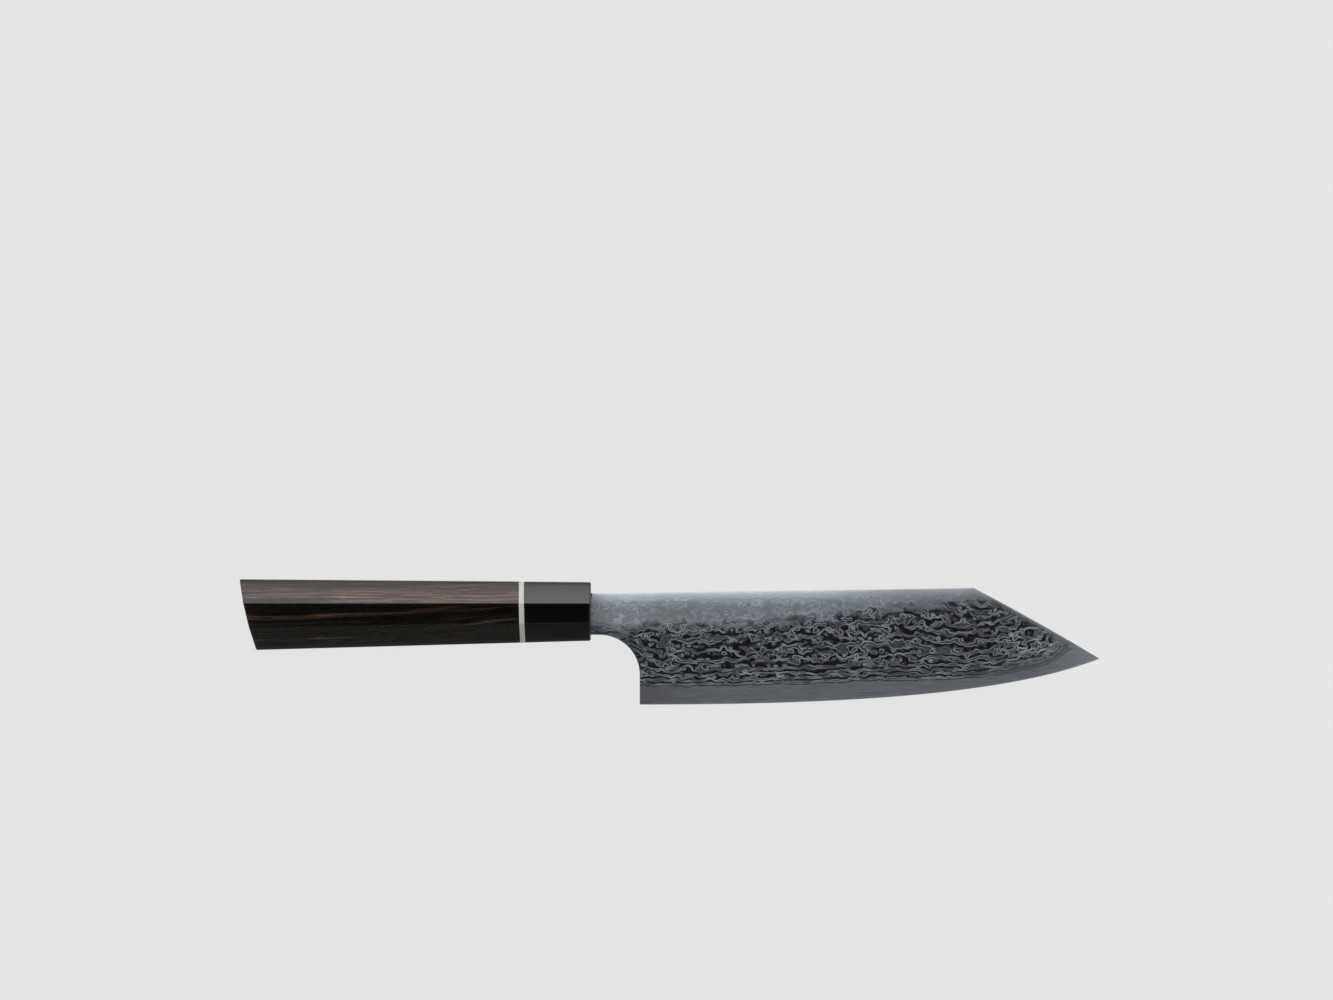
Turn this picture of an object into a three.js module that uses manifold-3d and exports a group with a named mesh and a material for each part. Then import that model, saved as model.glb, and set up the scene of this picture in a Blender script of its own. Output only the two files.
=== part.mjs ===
// Santoku knife with a clipped tip: a laminated blade, ground on both faces, whose stick tang is glued into an
// octagonal wooden handle with a black ferrule and a white ring.
//
// Millimetres. The pieces are drawn with X from the ferrule's front face towards the tip, Y from the tang's axis
// towards the spine, and Z across the blade from its middle plane. The finished knife lies on its left side, with
// its origin under the middle of its box, on the surface that it lies on.

import * as THREE from 'three';
import { mergeVertices } from 'three/addons/utils/BufferGeometryUtils.js';
import Module from 'manifold-3d';

const wasm = await Module();
wasm.setup();

// Blade outline
const NECK_STRAIGHT = 3.45;        // from the ferrule to the start of the choil's arc
const NECK_HEIGHT = 16.2;
const CHOIL_RADIUS = 15.75;
const HEEL_BACK = 11.65;           // straight back of the heel, below the choil
const EDGE_LENGTH = 180.5;         // heel to tip
const EDGE_HEEL_PULL = 68;         // how far the edge keeps the heel's direction
const EDGE_TIP_PULL = 42;          // how far it keeps the tip's direction
const EDGE_TIP_ANGLE = 21.6;       // degrees, rise of the edge at the tip
const TIP_LIFT = 18;               // tip above the heel
const CLIP_LENGTH = 49.3;          // clip from the spine's end to the tip
const CLIP_BULGE = 0.45;           // how far the clip bows out from a straight line
const SPINE_RISE = 2.1;            // spine's rise from the neck to the clip
const OUTLINE_STEPS = 40;          // in each curve of the outline

// Blade layers and grind
const BLADE_THICKNESS = 2;
const CORE_THICKNESS = 0.66;
const GRIND_HEIGHT = 33.9;         // edge to the line where the grind meets the flats
const BEVEL_HEIGHT = 0.6;          // honed bevel at the edge
const BEVEL_THICKNESS = 0.34;      // blade behind that bevel
const APEX_THICKNESS = 0.06;
const TIP_THICKNESS = 0.4;
const TIP_THINNING_LENGTH = 71;    // reach of the flat grind that thins the point
const TIP_THINNING_ANGLE = 37;     // degrees, its line against the knife's length

// Tang
const TANG_LENGTH = 92;
const TANG_FRONT_HEIGHT = 10;
const TANG_END_HEIGHT = 6;

// Handle lengths
const FERRULE_LENGTH = 25.8;
const RING_THICKNESS = 2;
const BODY_LENGTH = 109.8;         // along the top, from the ring to the butt's upper corner
const BUTT_ANGLE = 13.4;           // degrees, slant of the butt
const FERRULE_CHAMFER = 0.5;       // eased rim at the neck

// Octagon of the handle, as distances from the tang's axis at the ferrule's front and at the butt
const HANDLE_WIDTH = 21;
const FRONT_TOP = 12.6;
const BUTT_TOP = 13.75;
const CHEEK_TOP = 4.5;
const FRONT_CHEEK_BOTTOM = 3;
const BUTT_CHEEK_BOTTOM = 5.15;
const FRONT_BOTTOM = 10.35;
const BUTT_BOTTOM = 14.2;
const FACET_ANGLE = 36.5;          // degrees, lean of the slanted facets from the cheeks

// Inside of the handle
const DOWEL_DIAMETER = 13;
const DOWEL_STEPS = 32;
const FERRULE_WALL = 4;            // ferrule's front wall, which the dowel stops against
const DOWEL_END_WALL = 4;          // solid wood behind the dowel's slot
const ADHESIVE_SIDE = 0.3;         // adhesive on each face of the tang
const ADHESIVE_EDGE = 0.8;         // adhesive over and under the tang at the ferrule
const ADHESIVE_END = 4;            // adhesive behind the tang

// Clearances
const GLUE_LINE = 0.2;             // dowel in its bores, on the radius
const TANG_GAP = 0.3;              // tang's tapered edges in the adhesive
const BORE_RELIEF = 1;             // bore behind the dowel
const OVERSHOOT = 3;               // cutters past the surfaces that they cut
const CUTTER_REACH = 400;          // flat cutters, larger than the knife

// Derived places
const HALF_BLADE = BLADE_THICKNESS / 2;
const HALF_CORE = CORE_THICKNESS / 2;
const NECK_TOP = NECK_HEIGHT / 2;
const NECK_BOTTOM = -NECK_HEIGHT / 2;
const CHOIL_CENTRE = new THREE.Vector2(NECK_STRAIGHT, NECK_BOTTOM - CHOIL_RADIUS);
const HEEL = new THREE.Vector2(NECK_STRAIGHT + CHOIL_RADIUS, CHOIL_CENTRE.y - HEEL_BACK);
const TIP = new THREE.Vector2(HEEL.x + EDGE_LENGTH, HEEL.y + TIP_LIFT);
const CLIP_CORNER = new THREE.Vector2(TIP.x - CLIP_LENGTH, NECK_TOP + SPINE_RISE);
const RING_FRONT = -FERRULE_LENGTH;
const BODY_FRONT = RING_FRONT - RING_THICKNESS;
const HANDLE_LENGTH = FERRULE_LENGTH + RING_THICKNESS + BODY_LENGTH;
const SLOT_END = -TANG_LENGTH - ADHESIVE_END;
const SLOT_HEIGHT = TANG_FRONT_HEIGHT + 2 * ADHESIVE_EDGE;
const SLOT_WIDTH = BLADE_THICKNESS + 2 * ADHESIVE_SIDE;
const DOWEL_END = SLOT_END - DOWEL_END_WALL;
const BORE_END = DOWEL_END - BORE_RELIEF;
const BORE_RADIUS = DOWEL_DIAMETER / 2 + GLUE_LINE;

// Geometry to a solid that can be joined and cut
function solidOf(geometry) {
  const bare = geometry.clone();
  bare.deleteAttribute('normal');
  bare.deleteAttribute('uv');
  const merged = mergeVertices(bare);
  return new wasm.Manifold(new wasm.Mesh({
    numProp: 3,
    vertProperties: new Float32Array(merged.attributes.position.array),
    triVerts: new Uint32Array(merged.index.array),
  }));
}

// One solid with others cut away from it
function cut(solid, ...cutters) {
  return cutters.reduce((rest, cutter) => rest.subtract(cutter), solid);
}

// Plain material of one colour, with crisp facets
function finish(color, roughness, metalness) {
  return new THREE.MeshStandardMaterial({ color, roughness, metalness, flatShading: true });
}

// A finished solid as a named mesh
function meshOf(name, solid, material) {
  const { vertProperties, triVerts } = solid.getMesh();
  const geometry = new THREE.BufferGeometry();
  geometry.setAttribute('position', new THREE.BufferAttribute(vertProperties, 3));
  geometry.setIndex(new THREE.BufferAttribute(triVerts, 1));
  geometry.computeVertexNormals();
  const mesh = new THREE.Mesh(geometry, material);
  mesh.name = name;
  return mesh;
}

// Closed solid through outlines of equal count, given counter-clockwise in Y and Z at rising X
function loft(rings) {
  const count = rings[0].points.length;
  const positions = rings.flatMap(({ x, points }) => points.flatMap(({ x: y, y: z }) => [x, y, z]));
  const faces = [];
  for (let ring = 0; ring + 1 < rings.length; ring += 1) {
    for (let side = 0; side < count; side += 1) {
      const a = ring * count + side;
      const b = ring * count + (side + 1) % count;
      faces.push([a, b, a + count], [b, b + count, a + count]);
    }
  }
  const last = (rings.length - 1) * count;
  for (const [a, b, c] of THREE.ShapeUtils.triangulateShape(rings[0].points, [])) {
    faces.push([c, b, a]);
  }
  for (const [a, b, c] of THREE.ShapeUtils.triangulateShape(rings.at(-1).points, [])) {
    faces.push([last + a, last + b, last + c]);
  }
  const geometry = new THREE.BufferGeometry();
  geometry.setAttribute('position', new THREE.Float32BufferAttribute(positions, 3));
  geometry.setIndex(faces.flat());
  return geometry;
}

// The same solid on the other face of the blade
function mirrored(geometry) {
  const copy = geometry.clone().applyMatrix4(new THREE.Matrix4().makeScale(1, 1, -1));
  copy.setIndex([...copy.index.array].reverse());
  return copy;
}

// Flat sheet of an outline, between two heights
function sheet(outline, low, high) {
  const options = { depth: high - low, bevelEnabled: false, curveSegments: OUTLINE_STEPS };
  return new THREE.ExtrudeGeometry(outline, options).translate(0, 0, low);
}

// Round rod along the tang's axis
function rod(radius, from, to) {
  const length = to - from;
  return new THREE.CylinderGeometry(radius, radius, length, DOWEL_STEPS)
    .rotateZ(-Math.PI / 2)
    .translate(from + length / 2, 0, 0);
}

// Square block along the tang's axis
function block(height, width, from, to) {
  const length = to - from;
  return new THREE.BoxGeometry(length, height, width).translate(from + length / 2, 0, 0);
}

// Every side of a convex counter-clockwise outline moved inwards by one distance
function inset(points, distance) {
  return points.map((point, i) => {
    const before = points.at(i - 1);
    const after = points[(i + 1) % points.length];
    const arriving = point.clone().sub(before).normalize();
    const leaving = after.clone().sub(point).normalize();
    const inwards = new THREE.Vector2(-arriving.y - leaving.y, arriving.x + leaving.x);
    return point.clone().addScaledVector(inwards, distance / (1 + arriving.dot(leaving)));
  });
}

// Cutting edge from the heel to the tip
function edgeCurve() {
  const angle = THREE.MathUtils.degToRad(EDGE_TIP_ANGLE);
  const tipPull = new THREE.Vector2(Math.cos(angle), Math.sin(angle)).multiplyScalar(EDGE_TIP_PULL);
  const heelPull = new THREE.Vector2(EDGE_HEEL_PULL, 0);
  return new THREE.CubicBezierCurve(HEEL, HEEL.clone().add(heelPull), TIP.clone().sub(tipPull), TIP);
}

// Point that pulls the clip into its shallow bow
function clipPull() {
  const run = CLIP_CORNER.clone().sub(TIP);
  const outwards = new THREE.Vector2(run.y, -run.x).normalize();
  return TIP.clone().addScaledVector(run, 0.5).addScaledVector(outwards, 2 * CLIP_BULGE);
}

// Side view of the blade, neck and tang
function bladeOutline() {
  const { v1, v2 } = edgeCurve();
  const bow = clipPull();
  const outline = new THREE.Shape();
  outline.moveTo(-TANG_LENGTH, -TANG_END_HEIGHT / 2);
  outline.lineTo(0, -TANG_FRONT_HEIGHT / 2);
  outline.lineTo(0, NECK_BOTTOM);
  outline.lineTo(NECK_STRAIGHT, NECK_BOTTOM);
  outline.absarc(CHOIL_CENTRE.x, CHOIL_CENTRE.y, CHOIL_RADIUS, Math.PI / 2, 0, true);
  outline.lineTo(HEEL.x, HEEL.y);
  outline.bezierCurveTo(v1.x, v1.y, v2.x, v2.y, TIP.x, TIP.y);
  outline.quadraticCurveTo(bow.x, bow.y, CLIP_CORNER.x, CLIP_CORNER.y);
  outline.lineTo(0, NECK_TOP);
  outline.lineTo(0, TANG_FRONT_HEIGHT / 2);
  outline.lineTo(-TANG_LENGTH, TANG_END_HEIGHT / 2);
  outline.closePath();
  return outline;
}

// What the wheel takes off the right face: a hollow of constant section that follows the edge, with its honed
// bevel, and that runs out along the neck so that the ferrule meets a blade of full thickness
function grindCutter() {
  const halfBevel = BEVEL_THICKNESS / 2;
  const halfApex = APEX_THICKNESS / 2;
  const slope = (HALF_BLADE - halfBevel) / (GRIND_HEIGHT - BEVEL_HEIGHT);
  const neckHeight = NECK_BOTTOM - HEEL.y;
  const runOut = Math.max(0, slope * (GRIND_HEIGHT - neckHeight));
  const ceiling = HALF_BLADE + runOut + OVERSHOOT;
  const section = (edge, lift) => ({
    x: edge.x,
    points: [
      new THREE.Vector2(edge.y - OVERSHOOT, ceiling),
      new THREE.Vector2(edge.y - OVERSHOOT, halfApex + lift),
      new THREE.Vector2(edge.y, halfApex + lift),
      new THREE.Vector2(edge.y + BEVEL_HEIGHT, halfBevel + lift),
      new THREE.Vector2(edge.y + GRIND_HEIGHT + OVERSHOOT, HALF_BLADE + slope * OVERSHOOT + lift),
      new THREE.Vector2(edge.y + GRIND_HEIGHT + OVERSHOOT, ceiling),
    ],
  });
  const curve = edgeCurve();
  const beyond = TIP.clone().addScaledVector(curve.getTangent(1), OVERSHOOT);
  return loft([
    section(new THREE.Vector2(0, HEEL.y), runOut),
    ...curve.getPoints(OUTLINE_STEPS).map((point) => section(point, 0)),
    section(beyond, 0),
  ]);
}

// Flat grind that thins the point, set through the tip and leaning up towards the spine
function tipCutter() {
  const angle = THREE.MathUtils.degToRad(TIP_THINNING_ANGLE);
  const rise = HALF_BLADE - TIP_THICKNESS / 2;
  const along = new THREE.Vector3(Math.cos(angle), Math.sin(angle), 0);
  const upward = new THREE.Vector3(-Math.sin(angle), Math.cos(angle), rise / TIP_THINNING_LENGTH).normalize();
  const outward = along.clone().cross(upward);
  const placing = new THREE.Matrix4()
    .makeBasis(along, upward, outward)
    .setPosition(TIP.x, TIP.y, TIP_THICKNESS / 2);
  return new THREE.BoxGeometry(CUTTER_REACH, CUTTER_REACH, CUTTER_REACH)
    .translate(0, 0, CUTTER_REACH / 2)
    .applyMatrix4(placing);
}

// Corners of the handle's octagon at a place along it
function octagon(x) {
  const share = -x / HANDLE_LENGTH;
  const top = THREE.MathUtils.lerp(FRONT_TOP, BUTT_TOP, share);
  const cheekBottom = -THREE.MathUtils.lerp(FRONT_CHEEK_BOTTOM, BUTT_CHEEK_BOTTOM, share);
  const bottom = -THREE.MathUtils.lerp(FRONT_BOTTOM, BUTT_BOTTOM, share);
  const lean = Math.tan(THREE.MathUtils.degToRad(FACET_ANGLE));
  const cheek = HANDLE_WIDTH / 2;
  const topSide = cheek - (top - CHEEK_TOP) * lean;
  const bottomSide = cheek - (cheekBottom - bottom) * lean;
  return [
    new THREE.Vector2(top, -topSide),
    new THREE.Vector2(top, topSide),
    new THREE.Vector2(CHEEK_TOP, cheek),
    new THREE.Vector2(cheekBottom, cheek),
    new THREE.Vector2(bottom, bottomSide),
    new THREE.Vector2(bottom, -bottomSide),
    new THREE.Vector2(cheekBottom, -cheek),
    new THREE.Vector2(CHEEK_TOP, -cheek),
  ];
}

// Length of the handle's octagon
function octagonBar(from, to) {
  return loft([from, to].map((x) => ({ x, points: octagon(x) })));
}

// Saw cut that slants the butt
function buttCutter() {
  return new THREE.BoxGeometry(CUTTER_REACH, CUTTER_REACH, CUTTER_REACH)
    .translate(-CUTTER_REACH / 2, 0, 0)
    .rotateZ(THREE.MathUtils.degToRad(BUTT_ANGLE))
    .translate(-HANDLE_LENGTH, BUTT_TOP, 0);
}

// Space that the tang takes up in its adhesive, open at the front
function tangPocket() {
  const end = TANG_END_HEIGHT / 2 + TANG_GAP;
  const front = TANG_FRONT_HEIGHT / 2 + TANG_GAP;
  const outline = new THREE.Shape();
  outline.moveTo(-TANG_LENGTH - TANG_GAP, -end);
  outline.lineTo(0, -front);
  outline.lineTo(OVERSHOOT, -front);
  outline.lineTo(OVERSHOOT, front);
  outline.lineTo(0, front);
  outline.lineTo(-TANG_LENGTH - TANG_GAP, end);
  outline.closePath();
  return sheet(outline, -HALF_BLADE, HALF_BLADE);
}

// Three layers, each a sheet of the whole outline that the same grinding cuts through
function blade() {
  const coreSteel = finish(0x8b9096, 0.38, 1);
  const cladSteel = finish(0x5c6167, 0.42, 1);
  const outline = bladeOutline();
  const rightCutters = [grindCutter(), tipCutter()];
  const right = rightCutters.map(solidOf);
  const left = rightCutters.map((cutter) => solidOf(mirrored(cutter)));
  const core = solidOf(sheet(outline, -HALF_CORE, HALF_CORE));
  const rightSheet = solidOf(sheet(outline, HALF_CORE, HALF_BLADE));
  const leftSheet = solidOf(sheet(outline, -HALF_BLADE, -HALF_CORE));
  return new THREE.Group().add(
    meshOf('core_steel', cut(core, ...right, ...left), coreSteel),
    meshOf('right_cladding', cut(rightSheet, ...right), cladSteel),
    meshOf('left_cladding', cut(leftSheet, ...left), cladSteel),
  );
}

// Ferrule, ring and body threaded on the slotted dowel, and the adhesive that holds the tang in it
function handle() {
  const blackWood = finish(0x141414, 0.3, 0);
  const whiteRing = finish(0xd6d4cf, 0.4, 0);
  const darkWood = finish(0x2a211b, 0.42, 0);
  const plainWood = finish(0xb08d62, 0.8, 0);
  const adhesive = finish(0x0e0e10, 0.5, 0);

  const bore = solidOf(rod(BORE_RADIUS, BORE_END, -FERRULE_WALL));
  const slot = solidOf(block(SLOT_HEIGHT, SLOT_WIDTH, SLOT_END, OVERSHOOT));
  const ferrule = solidOf(loft([
    { x: -FERRULE_LENGTH, points: octagon(-FERRULE_LENGTH) },
    { x: -FERRULE_CHAMFER, points: octagon(-FERRULE_CHAMFER) },
    { x: 0, points: inset(octagon(0), FERRULE_CHAMFER) },
  ]));
  const ring = solidOf(octagonBar(BODY_FRONT, RING_FRONT));
  const body = solidOf(octagonBar(-HANDLE_LENGTH - OVERSHOOT, BODY_FRONT));
  const dowel = solidOf(rod(DOWEL_DIAMETER / 2, DOWEL_END, -FERRULE_WALL));
  const filling = solidOf(block(SLOT_HEIGHT, SLOT_WIDTH, SLOT_END, 0));
  return new THREE.Group().add(
    meshOf('ferrule', cut(ferrule, bore, slot), blackWood),
    meshOf('spacer_ring', cut(ring, bore), whiteRing),
    meshOf('handle_body', cut(body, solidOf(buttCutter()), bore), darkWood),
    meshOf('joint_dowel', cut(dowel, slot), plainWood),
    meshOf('tang_adhesive', cut(filling, solidOf(tangPocket())), adhesive),
  );
}

const knife = new THREE.Group().add(blade(), handle());
const box = new THREE.Box3().setFromObject(knife);
const middle = box.getCenter(new THREE.Vector3());
knife.position.set(-middle.x, -middle.y, -box.min.z);

export default knife;
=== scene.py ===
"""Looks of a santoku knife with a clipped tip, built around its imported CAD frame.

The pieces are drawn in millimetres in the knife's own drawing frame: X from the ferrule's front face
towards the tip, Y from the tang's axis towards the spine, and Z across the blade from its middle
plane. Every piece's object stands at that frame's origin, so the object coordinates in a material
are the drawing's own, in metres.
"""

import logging
import math
from collections import Counter
from dataclasses import dataclass, field
from enum import Enum
from typing import Any, Callable, Iterable, Sequence

import bmesh
import bpy
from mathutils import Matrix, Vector
from mathutils.geometry import tessellate_polygon

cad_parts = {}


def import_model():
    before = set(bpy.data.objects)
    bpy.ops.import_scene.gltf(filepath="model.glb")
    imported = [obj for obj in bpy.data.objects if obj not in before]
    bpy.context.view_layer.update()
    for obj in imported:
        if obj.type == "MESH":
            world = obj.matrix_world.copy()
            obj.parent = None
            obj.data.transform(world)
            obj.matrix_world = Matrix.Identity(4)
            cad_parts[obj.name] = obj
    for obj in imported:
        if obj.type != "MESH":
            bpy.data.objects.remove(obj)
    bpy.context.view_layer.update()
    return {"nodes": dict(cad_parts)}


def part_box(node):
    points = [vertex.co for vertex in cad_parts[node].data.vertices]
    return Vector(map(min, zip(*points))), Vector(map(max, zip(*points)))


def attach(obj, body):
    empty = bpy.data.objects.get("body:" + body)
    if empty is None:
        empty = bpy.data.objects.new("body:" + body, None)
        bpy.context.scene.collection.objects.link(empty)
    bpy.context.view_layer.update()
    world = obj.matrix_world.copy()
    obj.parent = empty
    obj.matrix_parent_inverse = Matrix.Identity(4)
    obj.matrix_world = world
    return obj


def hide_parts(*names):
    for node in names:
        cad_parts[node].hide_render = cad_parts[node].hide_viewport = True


log = logging.getLogger("santoku")

Point2 = tuple[float, float]
Point3 = tuple[float, float, float]
Colour = tuple[float, float, float]
Height = Callable[[float, float], float]
Socket = bpy.types.NodeSocket
Feed = float | Sequence[float] | Socket

MILLIMETRE = 0.001
MERGE_DISTANCE = 1e-4              # millimetres
SHARP_ANGLE = math.radians(33)
HALVINGS = 48                      # of a search, to far below a thousandth of a millimetre
STEEPEST_STEP = 1.5                # steepest slope of a smooth step, against its mean slope
MIX_COLOURS = (6, 7)               # inputs of the mix node that take its two colours
MIX_RESULT = 2                     # output of the mix node that gives the mixed colour
BODY = "root"


class Face(Enum):
    """The two faces of the blade, by the sign of their side of its middle plane."""

    RIGHT = 1
    LEFT = -1


class Way(Enum):
    """The two ways along the handle, by their sign along X."""

    TO_TIP = 1
    TO_BUTT = -1


class Maths(Enum):
    """Operations of the arithmetic nodes that the finishes use."""

    ADD = "ADD"
    SUBTRACT = "SUBTRACT"
    MULTIPLY = "MULTIPLY"
    DIVIDE = "DIVIDE"
    MULTIPLY_ADD = "MULTIPLY_ADD"
    ABSOLUTE = "ABSOLUTE"
    FRACTION = "FRACT"
    MAXIMUM = "MAXIMUM"
    POWER = "POWER"
    ARCSINE = "ARCSINE"
    ARCCOSINE = "ARCCOSINE"


# Shapes


def solve(function: Callable[[float], float], target: float, low: float, high: float) -> float:
    """Finds where a rising function reaches a value.

    Args:
        function: Function that rises between the two ends.
        target: Value to reach.
        low: Lower end of the search.
        high: Upper end of the search.

    Returns:
        The place.
    """
    for _ in range(HALVINGS):
        middle = (low + high) / 2
        if function(middle) < target:
            low = middle
        else:
            high = middle
    return (low + high) / 2


def soft_minimum(a: float, b: float, width: float) -> float:
    """Returns the smaller of two values, rounded where they are closer than a width."""
    overlap = max(width - abs(a - b), 0.0) / width
    return min(a, b) - overlap * overlap * width / 4


def ease(distance: float, width: float) -> float:
    """Returns the share of an easing's depth that is lost at a distance from the eased rim."""
    return min(max(1 - distance / width, 0.0), 1.0) ** 2


def steps(low: float, high: float, count: int) -> list[float]:
    """Returns evenly spaced values from one end to the other, both included."""
    return [low + (high - low) * i / count for i in range(count + 1)]


class MeshDraft:
    """Vertices and faces of one piece, in which points that coincide are kept once."""

    def __init__(self) -> None:
        """Starts with nothing drawn."""
        self.points: list[Point3] = []
        self.faces: list[tuple[int, ...]] = []
        self._found: dict[tuple[int, ...], int] = {}

    def vertex(self, point: Sequence[float]) -> int:
        """Adds a point unless it is there already.

        Args:
            point: Place in the drawing frame, in millimetres.

        Returns:
            The vertex's number.
        """
        key = tuple(round(value / MERGE_DISTANCE) for value in point)
        if key not in self._found:
            self._found[key] = len(self.points)
            self.points.append(tuple(point))
        return self._found[key]

    def face(self, corners: Sequence[int]) -> None:
        """Adds a face, without repeated corners, unless nothing is left of it.

        Args:
            corners: Vertex numbers in order.
        """
        ring = [corner for i, corner in enumerate(corners) if corner != corners[i - 1]]
        if len(ring) >= 3 and len(set(ring)) == len(ring):
            self.faces.append(tuple(ring))

    def skin(self, loops: Sequence[Sequence[Point3]]) -> list[list[int]]:
        """Joins closed loops of equal count into a tube.

        Args:
            loops: Loops of points, each beside the next.

        Returns:
            The loops as vertex numbers.
        """
        rows = [[self.vertex(point) for point in loop] for loop in loops]
        for row, after in zip(rows, rows[1:]):
            for i in range(len(row)):
                self.face((row[i - 1], row[i], after[i], after[i - 1]))
        return rows

    def cover(self, *outlines: Sequence[int]) -> None:
        """Closes an outline with flat faces, around any holes in it.

        Args:
            outlines: Vertex numbers of the outer loop, then of each hole.
        """
        numbers = [number for outline in outlines for number in outline]
        loops = [[Vector(self.points[number]) for number in outline] for outline in outlines]
        for corners in tessellate_polygon(loops):
            self.face([numbers[corner] for corner in corners])

    def piece(self, name: str) -> bpy.types.Object:
        """Makes the mesh object, smooth apart from its crisp edges.

        Args:
            name: Name of the piece.

        Returns:
            The object, linked to the scene and still at the world's origin.
        """
        mesh = bpy.data.meshes.new(name)
        metres = [[value * MILLIMETRE for value in point] for point in self.points]
        mesh.from_pydata(metres, [], self.faces)
        shape = bmesh.new()
        shape.from_mesh(mesh)
        bmesh.ops.recalc_face_normals(shape, faces=shape.faces)
        shape.to_mesh(mesh)
        shape.free()
        mesh.shade_smooth()
        mesh.set_sharp_from_angle(angle=SHARP_ANGLE)
        made = bpy.data.objects.new(name, mesh)
        bpy.context.scene.collection.objects.link(made)
        return made


def rim(cells: Iterable[Sequence[int]]) -> list[tuple[int, int]]:
    """Finds the outer edges of a patch of cells.

    Args:
        cells: Cells as the numbers of their corners in order.

    Returns:
        The edges that only one of the cells has, in that cell's direction.
    """
    edges = [(cell[i - 1], cell[i]) for cell in cells for i in range(len(cell))]
    uses = Counter(frozenset(edge) for edge in edges)
    return [edge for edge in edges if uses[frozenset(edge)] == 1]


class Plan:
    """Side view of a sheet, as cells between columns of points."""

    def __init__(self) -> None:
        """Starts with no cells."""
        self.points: list[Point2] = []
        self.cells: list[tuple[int, ...]] = []
        self._found: dict[tuple[int, int], int] = {}

    def vertex(self, point: Point2) -> int:
        """Adds a point unless it is there already.

        Args:
            point: Place in the side view, in millimetres.

        Returns:
            The point's number.
        """
        key = (round(point[0] / MERGE_DISTANCE), round(point[1] / MERGE_DISTANCE))
        if key not in self._found:
            self._found[key] = len(self.points)
            self.points.append(point)
        return self._found[key]

    def patch(self, columns: Sequence[Sequence[Point2]]) -> None:
        """Adds the cells between columns of equal count.

        Args:
            columns: Columns of points from the bottom up, from the butt's side to the tip's.
        """
        rows = [[self.vertex(point) for point in column] for column in columns]
        for here, after in zip(rows, rows[1:]):
            for i in range(len(here) - 1):
                corners = (here[i], after[i], after[i + 1], here[i + 1])
                ring = [corner for j, corner in enumerate(corners) if corner != corners[j - 1]]
                if len(ring) >= 3:
                    self.cells.append(tuple(ring))

    def thicken(self, low: Height, high: Height) -> MeshDraft:
        """Makes a closed sheet between two surfaces.

        Args:
            low: Height of the lower surface at a point of the plan.
            high: Height of the upper surface there.

        Returns:
            The closed mesh, which feathers out where the surfaces meet.
        """
        draft = MeshDraft()
        under = [draft.vertex((x, y, low(x, y))) for x, y in self.points]
        over = [draft.vertex((x, y, high(x, y))) for x, y in self.points]
        thick = [cell for cell in self.cells if any(over[corner] != under[corner] for corner in cell)]
        for cell in thick:
            draft.face([over[corner] for corner in cell])
            draft.face([under[corner] for corner in reversed(cell)])
        for a, b in rim(thick):
            draft.face((over[b], over[a], under[a], under[b]))
        return draft


@dataclass(frozen=True)
class Drawing:
    """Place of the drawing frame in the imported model."""

    origin: Vector

    @classmethod
    def of_frame(cls) -> "Drawing":
        """Finds the drawing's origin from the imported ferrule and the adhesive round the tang.

        Returns:
            The drawing frame.
        """
        ferrule_low, ferrule_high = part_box("ferrule")
        bed_low, bed_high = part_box("tang_adhesive")
        middle_y = (bed_low.y + bed_high.y) / 2
        middle_z = (ferrule_low.z + ferrule_high.z) / 2
        return cls(Vector((ferrule_high.x, middle_y, middle_z)))

    def point(self, x: float, y: float, z: float) -> Vector:
        """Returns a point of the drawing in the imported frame, in metres."""
        return self.origin + Vector((x, y, z)) * MILLIMETRE

    def place(
        self, draft: MeshDraft, name: str, material: bpy.types.Material, slot: str, *nodes: str
    ) -> bpy.types.Object:
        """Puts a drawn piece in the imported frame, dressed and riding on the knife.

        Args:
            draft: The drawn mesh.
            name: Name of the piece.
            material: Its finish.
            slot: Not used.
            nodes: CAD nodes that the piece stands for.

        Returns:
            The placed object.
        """
        piece = draft.piece(name)
        piece.data.materials.append(material)
        piece.location = self.origin
        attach(piece, BODY)
        if nodes:
            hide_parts(*nodes)
        log.info("piece %s: %d faces", name, len(draft.faces))
        return piece


# Nodes of the finishes


@dataclass(frozen=True)
class Span:
    """Smooth change of a result while a value goes from one number to another."""

    low: float
    high: float
    to_low: float = 0.0
    to_high: float = 1.0


@dataclass(frozen=True)
class Lumps:
    """Soft noise, by the size of its lumps in millimetres.

    The detail counts the octaves of finer lumps, the roughness is their strength, and the shift makes
    one noise differ from another.
    """

    size: Point3
    detail: float = 1.0
    roughness: float = 0.5
    shift: Point3 = (0.0, 0.0, 0.0)


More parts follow.
